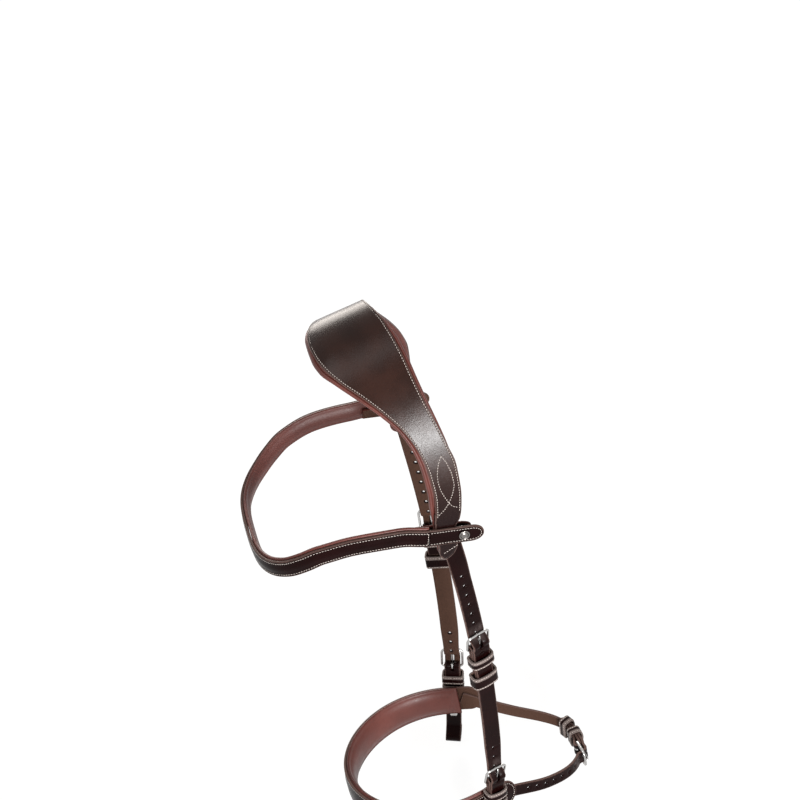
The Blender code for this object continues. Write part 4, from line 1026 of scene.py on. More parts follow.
class Wire:
    """A socket of a material's nodes, so that shader maths reads as an expression."""

    def __init__(self, tree, socket):
        self.tree, self.socket = tree, socket

    def maths(self, operation, *others, clamp=False):
        node = self.tree.nodes.new("ShaderNodeMath")
        node.operation = operation
        node.use_clamp = clamp
        for place, value in zip(node.inputs, (self, *others)):
            if isinstance(value, Wire):
                self.tree.links.new(value.socket, place)
            else:
                place.default_value = value
        return Wire(self.tree, node.outputs[0])

    def __add__(self, other):
        return self.maths("ADD", other)

    def __sub__(self, other):
        return self.maths("SUBTRACT", other)

    def __mul__(self, other):
        return self.maths("MULTIPLY", other)

    def __rsub__(self, other):
        return (self * -1.0).maths("ADD", other)

    __radd__ = __add__
    __rmul__ = __mul__

    def ramp(self, low, high):
        """0 at low and 1 at high, eased between them."""
        node = self.tree.nodes.new("ShaderNodeMapRange")
        node.interpolation_type = "SMOOTHSTEP"
        self.tree.links.new(self.socket, node.inputs["Value"])
        node.inputs["From Min"].default_value = low
        node.inputs["From Max"].default_value = high
        return Wire(self.tree, node.outputs["Result"])

    def band(self, middle, half):
        """1 at a middle value, easing to 0 a half width away."""
        return 1.0 - (self - middle).maths("ABSOLUTE").ramp(0.0, half)


def seen_direct(tree):
    """1 where the camera looks, also by a mirror or through glass, and 0 where light only falls."""
    rays = tree.nodes.new("ShaderNodeLightPath")
    seen = Wire(tree, rays.outputs["Is Camera Ray"])
    for kind in ("Is Glossy Ray", "Is Transmission Ray"):
        seen = seen.maths("ADD", Wire(tree, rays.outputs[kind]), clamp=True)
    return seen


class Finish:
    """One material while its nodes are laid."""

    def __init__(self, name, roughness=0.5, **steady):
        self.material = bpy.data.materials.new(name)
        self.material.use_nodes = True
        self.tree = self.material.node_tree
        self.shader = self.tree.nodes["Principled BSDF"]
        self.shader.inputs["Roughness"].default_value = roughness
        for socket, value in steady.items():
            self.shader.inputs[socket.replace("_", " ")].default_value = value

    def node(self, kind, settings=None, **sockets):
        made = self.tree.nodes.new(kind)
        for key, value in (settings or {}).items():
            setattr(made, key, value)
        for key, value in sockets.items():
            self.join(made.inputs[key.replace("_", " ")], value)
        return made

    def join(self, place, value):
        if isinstance(value, Wire):
            self.tree.links.new(value.socket, place)
        elif place.type == "RGBA" and len(value) == 3:
            place.default_value = (*value, 1.0)
        else:
            place.default_value = value

    def out(self, node, name):
        return Wire(self.tree, node.outputs[name])

    def here(self):
        """The object's own place."""
        return self.out(self.node("ShaderNodeTexCoord"), "Object")

    def mark(self, name):
        """A number that the mesh keeps for each point."""
        return self.out(self.node("ShaderNodeAttribute", {"attribute_name": name}), "Fac")

    def pattern(self):
        """The place on the flat pattern."""
        return self.out(self.node("ShaderNodeUVMap", {"uv_map": "pattern"}), "UV")

    def axis(self, place, letter):
        return self.out(self.node("ShaderNodeSeparateXYZ", Vector=place), letter)

    def noise(self, scale, detail=2.0, roughness=0.5, stretch=None):
        where = self.here()
        if stretch:
            where = self.out(self.node("ShaderNodeMapping", Vector=where, Scale=stretch), "Vector")
        node = self.node("ShaderNodeTexNoise", Vector=where, Scale=scale, Detail=detail, Roughness=roughness)
        return self.out(node, "Fac")

    def cells(self, scale):
        return self.out(self.node("ShaderNodeTexVoronoi", Vector=self.here(), Scale=scale), "Distance")

    def mix(self, share, first, second):
        node = self.node("ShaderNodeMix", {"data_type": "RGBA"})
        self.join(node.inputs[0], share)
        self.join(node.inputs[6], first)
        self.join(node.inputs[7], second)
        return Wire(self.tree, node.outputs[2])

    def wear(self, colour=None, roughness=None, height=None):
        """Joins what changes over the surface: its colour, roughness and height in metres."""
        if colour is not None:
            self.join(self.shader.inputs["Base Color"], colour)
        if roughness is not None:
            self.join(self.shader.inputs["Roughness"], roughness)
        if height is not None:
            bump = self.node("ShaderNodeBump", Height=height, Distance=1.0, Strength=1.0)
            self.join(self.shader.inputs["Normal"], self.out(bump, "Normal"))
        return self.material


def shade(colour, share):
    """A colour made darker or lighter."""
    return tuple(min(channel * share, 1.0) for channel in colour)


def leather_finish(
    name, colour, roughness, grooves=(), edge_colour=None, bared=(RIM, RIM), shine=0.05, foot_colour=None,
):
    """Waxed bridle leather: fine grain, a creased line by its rounded edge, a paler raw edge and back.

    The grooves are (distance from the edge, half width, depth); bared is the paler rim's width along the
    lower and the upper edge, on the keepers widened into painted highlight bands; the foot's colour takes
    over low down. Where a strap bends over its buckle it is rubbed and given a painted sheen.
    """
    hides = bpy.context.scene.bridle_hides
    made = Finish(name, Specular_IOR_Level=shine)
    edge, height = made.mark("edge"), made.mark("height")
    cloud = made.noise(scale=38.0, detail=3.0)
    fine = made.noise(scale=420.0, detail=3.0, roughness=0.6)
    grain = made.cells(scale=1500.0)
    pull = made.noise(scale=90.0, detail=4.0, roughness=0.55, stretch=(1.0, 1.0, 0.35))
    fibres = made.noise(scale=900.0, detail=4.0, roughness=0.7)
    nap = made.noise(scale=1300.0, detail=4.0, roughness=0.75)
    back = 1.0 - height.ramp(-0.98, -0.90)
    edge_colour = tuple(edge_colour or hides.edge_colour)
    lower, upper = bared
    wide = upper + (lower - upper) * made.axis(made.pattern(), "Y").ramp(-STEP, STEP)
    rim = 1.0 - (edge - wide).ramp(-RIM_FADE, 0.0)

    tone = made.mix(cloud.ramp(0.35, 0.68), shade(colour, 0.80), shade(colour, 1.22))
    if foot_colour:
        tone = made.mix(made.axis(made.here(), "Z").ramp(*FOOT_SPAN), foot_colour, tone)
    tone = made.mix(fine.ramp(0.45, 0.8) * 0.35, tone, shade(colour, 0.62))
    worn = edge.band(*WORN_LINE) * fine.ramp(0.30, 0.75)
    tone = made.mix(worn * 0.45, tone, edge_colour)
    # Rubbed where a strap bends over its buckle, with a painted sheen there: the greyish light on its hump
    rubbed = made.mark("bend") * pull.ramp(0.30, 0.72) * edge.ramp(0.0, RUBBED_SHEEN_FROM)
    tone = made.mix(rubbed * 0.55, tone, hides.rubbed_sheen_colour)
    # The paler cut edge; along a keeper's edges it widens into a painted highlight
    tone = made.mix(rim * 0.85, tone, edge_colour)
    flesh = made.mix(fibres, shade(hides.flesh_colour, 0.7), shade(hides.flesh_colour, 1.25))
    tone = made.mix(back, tone, flesh)

    gloss = made.mix(back, (roughness,) * 3, (FLESH_ROUGHNESS,) * 3)
    gloss = made.out(made.node("ShaderNodeSeparateColor", Color=gloss), "Red")
    gloss = gloss + (cloud - 0.5) * 0.16 + rim * 0.12 + (fine - 0.5) * 0.12

    crease = edge.band(hides.crease, CREASE_HALF) * -CREASE_DEPTH
    relief = grain * GRAIN_DEPTH + pull * PULL_DEPTH + fine * FINE_DEPTH + crease
    for place, half, depth in grooves:
        relief = relief - edge.band(place, half) * depth
    relief = relief + back * nap * FLESH_DEPTH
    return made.wear(tone, gloss, relief)


def lining_finish(name, colour):
    """Soft padded lining leather: a matt sheen, fine pebbles and shallow wrinkles."""
    made = Finish(name, Specular_IOR_Level=0.30)
    cloud = made.noise(scale=30.0, detail=3.0)
    soft = made.noise(scale=260.0, detail=4.0, roughness=0.6)
    folds = made.noise(scale=75.0, detail=5.0, roughness=0.65, stretch=(1.0, 1.0, 0.4))
    pebbles = made.cells(scale=1100.0)
    tone = made.mix(cloud.ramp(0.3, 0.7), shade(colour, 0.82), shade(colour, 1.18))
    tone = made.mix(soft.ramp(0.5, 0.85) * 0.4, tone, shade(colour, 0.6))
    tone = made.mix((1.0 - pebbles.ramp(0.1, 0.7)) * 0.12, tone, shade(colour, 1.4))
    gloss = 0.46 + (cloud - 0.5) * 0.2 + (soft - 0.5) * 0.2
    relief = folds * FOLD_DEPTH + soft * SOFT_DEPTH - pebbles * PEBBLE_DEPTH
    return made.wear(tone, gloss, relief)


def thread_finish(name, colour):
    """Waxed linen thread: pale, with a fine twist and a little grime."""
    made = Finish(name, Specular_IOR_Level=0.35)
    twist = made.noise(scale=2600.0, detail=2.0, roughness=0.6)
    grime = made.noise(scale=160.0, detail=3.0)
    tone = made.mix(grime.ramp(0.42, 0.75) * 0.5, colour, shade(colour, 0.55))
    tone = made.mix(twist * 0.35, tone, shade(colour, 0.7))
    return made.wear(tone, 0.55 + (twist - 0.5) * 0.2, twist * TWIST_DEPTH)


def metal_finish(name, colour, roughness):
    """Polished nickel-plated steel with hairline scratches and a little dulling."""
    made = Finish(name, Metallic=1.0)
    scratch = made.noise(scale=700.0, detail=3.0, roughness=0.7, stretch=(1.0, 1.0, 0.08))
    dull = made.noise(scale=120.0, detail=3.0)
    tone = made.mix(dull.ramp(0.5, 0.85) * 0.4, colour, shade(colour, 0.72))
    gloss = roughness + scratch.ramp(0.5, 0.8) * 0.10 + dull.ramp(0.5, 0.8) * 0.12
    return made.wear(tone, gloss, scratch * SCRATCH_DEPTH)


@functools.lru_cache(maxsize=None)
def finish(look):
    """The bridle's materials, each made the first time that a piece asks for it."""
    hides = bpy.context.scene.bridle_hides
    metal = bpy.context.scene.bridle_metal
    sewing = bpy.context.scene.bridle_sewing
    makers = {
        "crown": lambda: leather_finish(
            "crown_leather", hides.crown_colour, hides.gloss, ((hides.crown_inset, *CROWN_GROOVE),),
            shine=0.15, foot_colour=hides.strap_colour,
        ),
        "strap": lambda: leather_finish("strap_leather", hides.strap_colour, hides.gloss + 0.04),
        "band": lambda: leather_finish(
            "band_leather", hides.strap_colour, hides.gloss + 0.02, ((hides.band_inset, *BAND_GROOVE),),
        ),
        # Keepers: their pale edge bands are widened into a painted highlight, wider along the top
        "keeper": lambda: leather_finish(
            "keeper_leather", hides.strap_colour, hides.gloss + 0.02, ((hides.keeper_inset, *KEEPER_GROOVE),),
            hides.keeper_edge_highlight_colour, (KEEPER_HIGHLIGHT_BAND, KEEPER_TOP_HIGHLIGHT_BAND),
        ),
        "under": lambda: leather_finish(
            "under_tab_leather", hides.strap_colour, hides.gloss + 0.04, edge_colour=hides.lining_colour,
        ),
        "lining": lambda: lining_finish("lining_leather", hides.lining_colour),
        "thread": lambda: thread_finish("linen_thread", tuple(sewing.colour)),
        "metal": lambda: metal_finish("hardware", tuple(metal.colour), metal.roughness),
        "cap": lambda: metal_finish("snap_caps", tuple(metal.cap_colour), metal.roughness),
    }
    return makers[look]()


# Buckled straps


def billet_depth(before_bar):
    """How deep the buckled strap's middle lies at a distance above (+) or below (-) the hinge bar."""
    rows = (
        (-FIXED_KEEPER_LENGTH, OVER_STRAP_AT), (-WIRE, OVER_BAR_AT), (WIRE, OVER_BAR_AT),
        (FRAME_LENGTH * HUMP_SHARE, OVER_BAR_AT + HUMP_RISE), (FRAME_LENGTH * HUMP_END_SHARE, BILLET_AT),
    )
    return read_table(rows, before_bar)[0]


def frame_tilt():
    """How far a buckle's frame leans out of the strap's plane, to clear the billet under its top bar."""
    clear = WIRE + GAP + LEATHER / 2
    return math.asin((BILLET_AT + clear - BAR_AT) / FRAME_LENGTH)


class Buckle:
    """Where a buckle's hinge bar sits on a path, and the plane that its frame lies in."""

    def __init__(self, path_frame, bar_place):
        here = path_frame(bar_place)
        up = -here.along
        tilt = frame_tilt()
        self.bar = here.at(BAR_AT)
        self.up = up * math.cos(tilt) + here.out * math.sin(tilt)
        self.out = here.out * math.cos(tilt) - up * math.sin(tilt)
        self.across = here.across

    def at(self, up, height=0.0, across=0.0):
        return self.bar + self.up * up + self.out * height + self.across * across


def rod(name, points, radius, body, cyclic=False, shares=None):
    """A round wire along points; the shares change its radius at each."""
    curve = bpy.data.curves.new(name, "CURVE")
    curve.dimensions = "3D"
    curve.bevel_depth = radius
    curve.bevel_resolution = ROD_RESOLUTION
    curve.use_fill_caps = True
    spline = curve.splines.new("POLY")
    spline.points.add(len(points) - 1)
    for i, (place, point) in enumerate(zip(spline.points, points)):
        place.co = (*point, 1.0)
        place.radius = shares[i] if shares else 1.0
    spline.use_cyclic_u = cyclic
    spline.use_smooth = True
    item = bpy.data.objects.new(name, curve)
    mesh = bpy.data.meshes.new_from_object(item)
    bpy.data.objects.remove(item)
    bpy.data.curves.remove(curve)
    bm = bmesh.new()
    bm.from_mesh(mesh)
    bpy.data.meshes.remove(mesh)
    bmesh.ops.remove_doubles(bm, verts=bm.verts, dist=WELD)
    for face in bm.faces:
        face.smooth = True
    bmesh.ops.recalc_face_normals(bm, faces=bm.faces)
    return finished(name, bm, finish("metal"), body, (name,))


def make_buckle(name, buckle, width):
    """The frame: a rounded wire rectangle whose near side is the hinge bar and whose far side arches."""
    half = (width + FRAME_SPARE) / 2 + WIRE
    points = []
    for sx, sy in ((1, 1), (-1, 1), (-1, -1), (1, -1)):
        corner = FRAME_CORNER if sy > 0 else 2 * WIRE
        cx = sx * (half - corner)
        cy = FRAME_LENGTH - corner if sy > 0 else corner
        start = math.atan2(sy, sx) - math.pi / 4
        for i in range(CORNER_TURNS + 1):
            angle = start + math.pi / 2 * i / CORNER_TURNS
            x, up = cx + corner * math.cos(angle), cy + corner * math.sin(angle)
            if sy > 0:
                up += FRAME_ARCH * max(0.0, 1 - (x / half) ** 2) * max(math.sin(angle), 0.0) ** 4
            points.append(buckle.at(up, 0.0, x))
        if sx > 0 and sy > 0:
            for x in stations(cx, -cx, ARCH_STEP)[1:-1]:
                points.append(buckle.at(FRAME_LENGTH + FRAME_ARCH * (1 - (x / half) ** 2), 0.0, x))
    return rod(name, points, WIRE * WIRE_SHARE, "crown", cyclic=True)


def make_tongue(name, buckle):
    """The tongue: a ring round the hinge bar, a straight run, and a tapered tip over the top bar.

    It turns on a body of its own name.
    """
    ring = WIRE + GAP / 2 + TONGUE
    rest = WIRE + GAP + TONGUE
    line = []
    for i in range(RING_TURNS + 1):
        angle = math.radians(TONGUE_WRAP_DEG) * (1 - i / RING_TURNS)
        line.append((-ring * math.sin(angle), ring * math.cos(angle)))
    last = FRAME_LENGTH + TONGUE_REACH
    for i in range(1, TONGUE_RUNS + 1):
        up = last * i / TONGUE_RUNS
        line.append((up, ring + (rest - ring) * up / last - GAP * smooth_step(up, FRAME_LENGTH, last)))
    shares = [1.0] * (len(line) - len(TONGUE_TAPER)) + list(TONGUE_TAPER)
    return rod(name, [buckle.at(up, height) for up, height in line], TONGUE, name, shares=shares)


def tongue_height(up, lift):
    """The tongue's depth at a distance up from the hinge bar, lifted by an angle."""
    tilt = frame_tilt() + lift
    ring = WIRE + GAP / 2 + TONGUE
    return BAR_AT + ring / math.cos(tilt) + up * math.tan(tilt)


def slot_span():
    """Where the tongue crosses the strap, at rest and lifted, measured up from the hinge bar."""
    lift = math.radians(TONGUE_LIFT_DEG)

    def reach(up):
        slope = (billet_depth(up + STEP) - billet_depth(up - STEP)) / (2 * STEP)
        return TONGUE / math.cos(frame_tilt()) + math.hypot(1.0, slope) * LEATHER / 2 + SLOT_CLEAR

    ups = [FRAME_LENGTH * i / PLAN_SAMPLES for i in range(PLAN_SAMPLES)]
    low = min(up for up in ups if tongue_height(up, lift) + reach(up) > billet_depth(up))
    high = max(up for up in ups if tongue_height(up, 0.0) - reach(up) < billet_depth(up))
    return low, high


def billet_knots(start, bar, tip):
    """A buckled strap's middle from its start, over the hinge bar's hump, to its tip."""
    top = bar - FRAME_LENGTH - WIRE
    knots = [(place, BILLET_AT) for place in stations(start, top, KNOT_STEP)]
    for up in stations(FRAME_LENGTH, -FIXED_KEEPER_LENGTH, HUMP_STEP):
        knots.append((bar - up, billet_depth(up)))
    knots += [(place, OVER_STRAP_AT) for place in stations(bar + FIXED_KEEPER_LENGTH, tip, KNOT_STEP)[1:]]
    return knots


def fold_knots(bar):
    """A turned-back end: from its hidden end up, round the hinge bar, and down the front."""
    first = FOLD_RETURN * FOLD_START_SHARE
    knots = [(place, RETURN_AT) for place in stations(bar + FOLD_RETURN, bar + first, KNOT_STEP)]
    for i in range(FOLD_TURNS + 1):
        angle = math.radians(FOLD_WRAP_DEG) * (i / FOLD_TURNS - 1 / 2)
        knots.append((bar - FOLD_RADIUS * math.cos(angle), BAR_AT + FOLD_RADIUS * math.sin(angle)))
    knots.append((bar + first, BILLET_AT))
    return knots


def holed_strap(course, width, holes, tip=0.0, narrow=None):
    """A strap's flat pattern over a course, with holes along its middle."""
    edges = strap_edges(0.0, course.length, width / 2, tip, narrow)
    return Pattern(
        0.0, course.length, edges, STRAP_STEP, rings=STRAP_RINGS, inner=holed_rows(width / 2, STRAP_RINGS),
        holes=holes, fine=(0.0, tip),
    )


def row_of_holes(course, bar, above, below, pitch):
    """The row of holes in a strap's flat pattern, the one in use stretched round the tongue."""
    low, high = slot_span()
    middle = (low + high) / 2
    holes = []
    for i in range(-below, above + 1):
        place = course.length_at(bar - middle - i * pitch)
        if i == 0:
            holes.append(Hole(place, TONGUE + SLOT_CLEAR, (high - low) - 2 * (TONGUE + SLOT_CLEAR)))
        else:
            holes.append(Hole(place, HOLE_RADIUS))
    return holes


def fold_slot(course, bar):
    """The slot that the tongue's ring turns in, through the fold."""
    middle = (course.length_at(bar, last=False) + course.length_at(bar)) / 2
    return Hole(middle, TONGUE + SLOT_CLEAR, FOLD_SLOT_LENGTH + math.pi * FOLD_RADIUS / 2)


def make_billet(word, side):
    path = CheekPath(side)
    drops = cheek_drops()
    course = Course(path.frame, billet_knots(-BILLET_LAP, UPPER_BAR_DROP, drops["billet_tip"]))
    holes = row_of_holes(course, UPPER_BAR_DROP, HOLES_ABOVE, HOLES_BELOW, HOLE_PITCH)
    pattern = holed_strap(course, BILLET_WIDTH, holes, tip=BILLET_TIP_LENGTH)
    bend = course.length_at(UPPER_BAR_DROP - FRAME_LENGTH)
    leather_piece("crown_billet_" + word, pattern, course.lay, "strap", bend=bend)


def cheek_drops():
    """Where the keepers and the strap ends come down the cheek."""
    keeper = UPPER_BAR_DROP + KEEPER_BELOW_BAR + FIXED_KEEPER_LENGTH / 2
    runner = keeper + (FIXED_KEEPER_LENGTH + RUNNER_LENGTH) / 2 + RUNNER_BELOW_KEEPER
    bit_keeper = LOWER_BAR_DROP + KEEPER_BELOW_BAR + FIXED_KEEPER_LENGTH / 2
    loop = bit_keeper + (FIXED_KEEPER_LENGTH + LOOP_LENGTH) / 2 + LOOP_BELOW_KEEPER
    return {
        "cheek_keeper": keeper, "cheek_runner": runner, "billet_tip": runner + RUNNER_LENGTH / 2,
        "bit_keeper": bit_keeper, "noseband_loop": loop,
        "cheek_tip": loop + LOOP_LENGTH / 2 + BILLET_TIP_LENGTH / 2,
    }


def make_cheek_strap(word, side):
    path = CheekPath(side)
    drops = cheek_drops()
    knots = fold_knots(UPPER_BAR_DROP)
    knots += billet_knots(UPPER_BAR_DROP + FOLD_RETURN / 2, LOWER_BAR_DROP, drops["cheek_tip"])
    course = Course(path.frame, knots)
    top = course.length_at(LOWER_BAR_DROP - FRAME_LENGTH - WIRE)
    narrow = BIT_WIDTH / CHEEK_WIDTH

    def wide(x):
        return CHEEK_WIDTH / 2 * (1 + (narrow - 1) * smooth_step(x, top - TAPER_RUN, top))

    holes = row_of_holes(course, LOWER_BAR_DROP, CHEEK_HOLES_ABOVE, 0, HOLE_PITCH)
    holes.append(fold_slot(course, UPPER_BAR_DROP))
    pattern = holed_strap(course, CHEEK_WIDTH, holes, tip=BILLET_TIP_LENGTH, narrow=wide)
    bend = course.length_at(LOWER_BAR_DROP - FRAME_LENGTH)
    leather_piece("cheek_strap_" + word, pattern, course.lay, "strap", bend=bend)


def make_bit_strap(word, side):
    """The strap below the lower buckle, turned up at its end into the bit loop."""
    path = CheekPath(side)
    knots = fold_knots(LOWER_BAR_DROP)
    loop_top = BIT_DROP - 2 * BIT_LOOP_RADIUS
    first = LOWER_BAR_DROP + FOLD_SLOT_LENGTH
    knots += [(drop, BILLET_AT) for drop in stations(first, loop_top, KNOT_STEP)]
    centre = BILLET_AT - LAYER / 2
    ring = BIT_LOOP_RADIUS + LEATHER / 2
    seat = BIT_SEAT_LENGTH / 2
    for degrees in LOOP_DEGREES:
        angle = math.radians(degrees)
        half = 1 if degrees <= 90 else -1
        bottom = BIT_DROP - BIT_LOOP_RADIUS
        knots.append((
            bottom + ring * math.sin(angle), centre + (ring - seat) * math.cos(angle) + seat * half,
        ))
    return_end = BIT_DROP - BIT_LAP - BIT_LOOP_RADIUS
    knots += [(drop, RETURN_AT) for drop in stations(loop_top, return_end, KNOT_STEP)]
    course = Course(path.frame, knots, smoothing=LOOP_ROUNDS)
    stud = loop_top - BIT_STUD_ABOVE
    holes = [fold_slot(course, LOWER_BAR_DROP)]
    for last in (False, True):
        crossings = np.nonzero(np.diff(np.sign(course.line[:, 0] - stud)))[0]
        holes.append(Hole(float(course.at[crossings[-1 if last else -2]]), STUD_RADIUS + GAP / 2))
    leather_piece("bit_strap_" + word, holed_strap(course, BIT_WIDTH, holes), course.lay, "strap")
    turned("bit_stud_" + word, stud_profile(), path.frame(stud))


def turned(name, profile, here, body="crown", look="metal"):
    """A round piece spun from its profile (radius, height), standing along a frame's outward direction."""
    bm = bmesh.new()
    made = [bm.verts.new((radius, 0.0, height)) for radius, height in profile]
    edges = [bm.edges.new(pair) for pair in zip(made, made[1:])]
    bmesh.ops.spin(
        bm, geom=made + edges, cent=(0.0, 0.0, 0.0), axis=(0.0, 0.0, 1.0), angle=2 * math.pi,
        steps=TURN_STEPS, use_merge=True, use_duplicate=False,
    )
    bmesh.ops.remove_doubles(bm, verts=bm.verts, dist=WELD)
    bmesh.ops.recalc_face_normals(bm, faces=bm.faces)
    turn = Vector((0.0, 0.0, 1.0)).rotation_difference(here.out).to_matrix().to_4x4()
    bm.transform(Matrix.Translation(here.point) @ turn)
    for face in bm.faces:
        face.smooth = True
    return finished(name, bm, finish(look), body, (name,))


def rolled_rim(radius, base, lip, angles):
    """The rounded rim that a head's profile starts with."""
    return [(radius - lip + lip * math.cos(angle), base + lip + lip * math.sin(angle)) for angle in angles]


def dome(radius, base, height):
    """A flattened dome's profile with a rolled rim, from its edge to its middle."""
    line = rolled_rim(radius, base, radius * DOME_RIM, DOME_ANGLES)
    wide, low = line[-1]
    for i in range(1, DOME_STEPS + 1):
        part = i / DOME_STEPS * math.pi / 2
        line.append((wide * math.cos(part), low + (base + height - low) * math.sin(part)))
    line[-1] = (0.0, base + height)
    return line


def ringed_dome(radius, base, height):
    """A snap cap's profile: a rolled rim, a groove inside it, and a low dome in the middle."""
    lip = radius * RINGED_RIM
    line = rolled_rim(radius, base, lip, RINGED_ANGLES)
    foot = radius * GROOVE_FOOT
    line.append((foot + lip * GROOVE_OUT, base + lip * GROOVE_EDGE))
    low = base + lip * GROOVE_LOW
    for i in range(DOME_STEPS + 1):
        part = math.pi / 2 * i / DOME_STEPS
        line.append((foot * math.cos(part), low + (base + height - low) * math.sin(part) ** GROOVE_BEND))
    line[-1] = (0.0, base + height)
    return line


def stud_profile():
    """The stud that closes the bit loop: a flat back, a shank and a domed head."""
    outer, inner = BILLET_AT + LEATHER / 2 + GAP, RETURN_AT - LEATHER / 2 - GAP
    low = inner - STUD_HEAD_HEIGHT * BACK_SHARE
    back = [(0.0, low), (STUD_HEAD * BACK_SHARE, low), (STUD_HEAD, inner)]
    shank = [(STUD_RADIUS, inner), (STUD_RADIUS, outer), (STUD_HEAD * SEAT_SHARE, outer)]
    return back + shank + dome(STUD_HEAD, outer, STUD_HEAD_HEIGHT)


# Keepers


def keeper_line(half_width, rise):
    """The middle of a keeper's wall, once round the straps from the middle of its back."""
    inner, outer = LOOP_INNER - KEEPER_WALL / 2, OVER_STRAP_AT + LEATHER / 2 + rise + KEEPER_WALL / 2
    wide = half_width + KEEPER_WALL / 2
    points = []
    for sx, sy in ((1, -1), (1, 1), (-1, 1), (-1, -1)):
        radius = (KEEPER_CORNER if sy > 0 else KEEPER_CORNER / 2) - KEEPER_WALL / 4
        cx, cy = sx * (wide - radius), (outer if sy > 0 else inner) - sy * radius
        start = math.atan2(sy, sx) - math.pi / 4
        for i in range(CORNER_TURNS + 1):
            angle = start + math.pi / 2 * i / CORNER_TURNS
            points.append((cx + radius * math.cos(angle), cy + radius * math.sin(angle)))
        if (sx, sy) == (1, 1):
            for part in FACE_SHARES:
                x = cx * (2 * part - 1)
                points.append((x, outer + KEEPER_CROWN * (1 - (x / cx) ** 2)))
    first = (0.0, inner)
    return [first, *points, first]


def make_keeper(name, here, half_width, length, rise=KEEPER_RISE):
    """A leather loop round the straps: a short strip, sewn along both edges, bent round to meet itself.

    The runners slide, each on a body of its own name.
    """
    body = name if "runner" in name else "crown"
    line = np.array(keeper_line(half_width, rise))
    lengths = run_lengths(line)
    whole = float(lengths[-1])
    at = np.linspace(0.0, whole, LINE_SAMPLES)
    line = smoothed(read_line(line, lengths, at), KEEPER_ROUNDS)
    slopes = headings(line)

    def lay(x, y, z):
        across, depth, run, climb = (float(np.interp(x, at, row)) for row in (*line.T, *slopes.T))
        return here.at(depth - z * run, across + z * climb, y)

    pattern = Pattern(
        STEP, whole - STEP, strap_edges(STEP, whole - STEP, length / 2), KEEPER_STEP, edge=KEEPER_EDGE,
        rings=KEEPER_RINGS, looped=True,
    )
    leather_piece(name, pattern, lay, "keeper", body, thickness=KEEPER_WALL)
    half = length / 2 - bpy.context.scene.bridle_hides.keeper_inset
    places = stations(KEEPER_ROW_STOP, whole - KEEPER_ROW_STOP, SHORT_ROW_STEP)
    rows = [[(x, way * half) for x in places] for way in (-1, 1)]
    sewn(name + "_stitching", rows, lay, KEEPER_WALL / 2, body)


# Properties


class BridleHides(bpy.types.PropertyGroup):
    """Leather colours, gloss and the lines worked along the edges."""

    crown_colour: FloatVectorProperty(
        name="Crown colour", description="Dark havana of the crown's leather", subtype="COLOR",
        default=(0.0185, 0.0062, 0.0038), min=0.0, max=1.0,
    )
    strap_colour: FloatVectorProperty(
        name="Strap colour", description="Dark havana of the straps", subtype="COLOR",
        default=(0.0062, 0.0012, 0.0011), min=0.0, max=1.0,
    )
    lining_colour: FloatVectorProperty(
        name="Lining colour", description="Reddish cognac of the padded linings", subtype="COLOR",
        default=(0.090, 0.024, 0.018), min=0.0, max=1.0,
    )
    edge_colour: FloatVectorProperty(
        name="Edge colour", description="Paler brown of a cut and rubbed edge", subtype="COLOR",
        default=(0.110, 0.066, 0.056), min=0.0, max=1.0,
    )
    # Also the colour of the painted highlight bands along a keeper's edges, wider along its top
    keeper_edge_highlight_colour: FloatVectorProperty(
        name="Keeper edge colour", description="Pale undyed edge of the keepers", subtype="COLOR",
        default=(0.150, 0.118, 0.108), min=0.0, max=1.0,
    )
    # Painted sheen as well as rubbing: the greyish light where a strap bends over its buckle
    rubbed_sheen_colour: FloatVectorProperty(
        name="Worn colour", description="Greyish bloom where a strap bends over its buckle", subtype="COLOR",
        default=(0.120, 0.092, 0.088), min=0.0, max=1.0,
    )
    flesh_colour: FloatVectorProperty(
        name="Flesh colour", description="Undressed back of the straps", subtype="COLOR",
        default=(0.058, 0.030, 0.021), min=0.0, max=1.0,
    )
    gloss: FloatProperty(
        name="Roughness", description="Roughness of the waxed face", default=0.27, min=0.0, max=1.0,
        subtype="FACTOR",
    )
    crease: FloatProperty(
        name="Crease", description="Distance of the creased line from the edge", default=0.0016,
        unit="LENGTH",
    )
    crown_inset: FloatProperty(
        name="Crown stitch inset", description="Distance of the crown's stitching from its edge",
        default=0.0017, unit="LENGTH",
    )
    band_inset: FloatProperty(
        name="Band stitch inset", description="Distance of the browband's stitching from its edge",
        default=0.0022, unit="LENGTH",
    )
    keeper_inset: FloatProperty(
        name="Keeper stitch inset", description="Distance of a keeper's stitching from its edge",
        default=0.0013, unit="LENGTH",
    )


class BridleSewing(bpy.types.PropertyGroup):
    """The thread and its stitches."""

    colour: FloatVectorProperty(
        name="Thread colour", description="Cream linen thread", subtype="COLOR",
        default=(0.42, 0.365, 0.33), min=0.0, max=1.0,
    )
    thread: FloatProperty(name="Thread", description="Thread thickness", default=0.00068, unit="LENGTH")
    pitch: FloatProperty(
        name="Pitch", description="Length from stitch to stitch", default=0.0023, unit="LENGTH",
    )
    slant: FloatProperty(name="Slant", description="Lean of each stitch", default=0.12, unit="ROTATION")
    sink: FloatProperty(
        name="Sink", description="How far the thread sinks, in thread radii", default=0.25, min=0.0, max=1.0,
    )


class BridleMetal(bpy.types.PropertyGroup):
    """Buckles, snap caps and studs."""

    colour: FloatVectorProperty(
        name="Metal colour", description="Polished nickel silver", subtype="COLOR",
        default=(0.45, 0.44, 0.43), min=0.0, max=1.0,
    )
    cap_colour: FloatVectorProperty(
        name="Cap colour", description="Duller metal of the snap caps", subtype="COLOR",
        default=(0.20, 0.185, 0.175), min=0.0, max=1.0,
    )
    roughness: FloatProperty(
        name="Roughness", description="Roughness of the polish", default=0.20, min=0.0, max=1.0,
        subtype="FACTOR",
    )


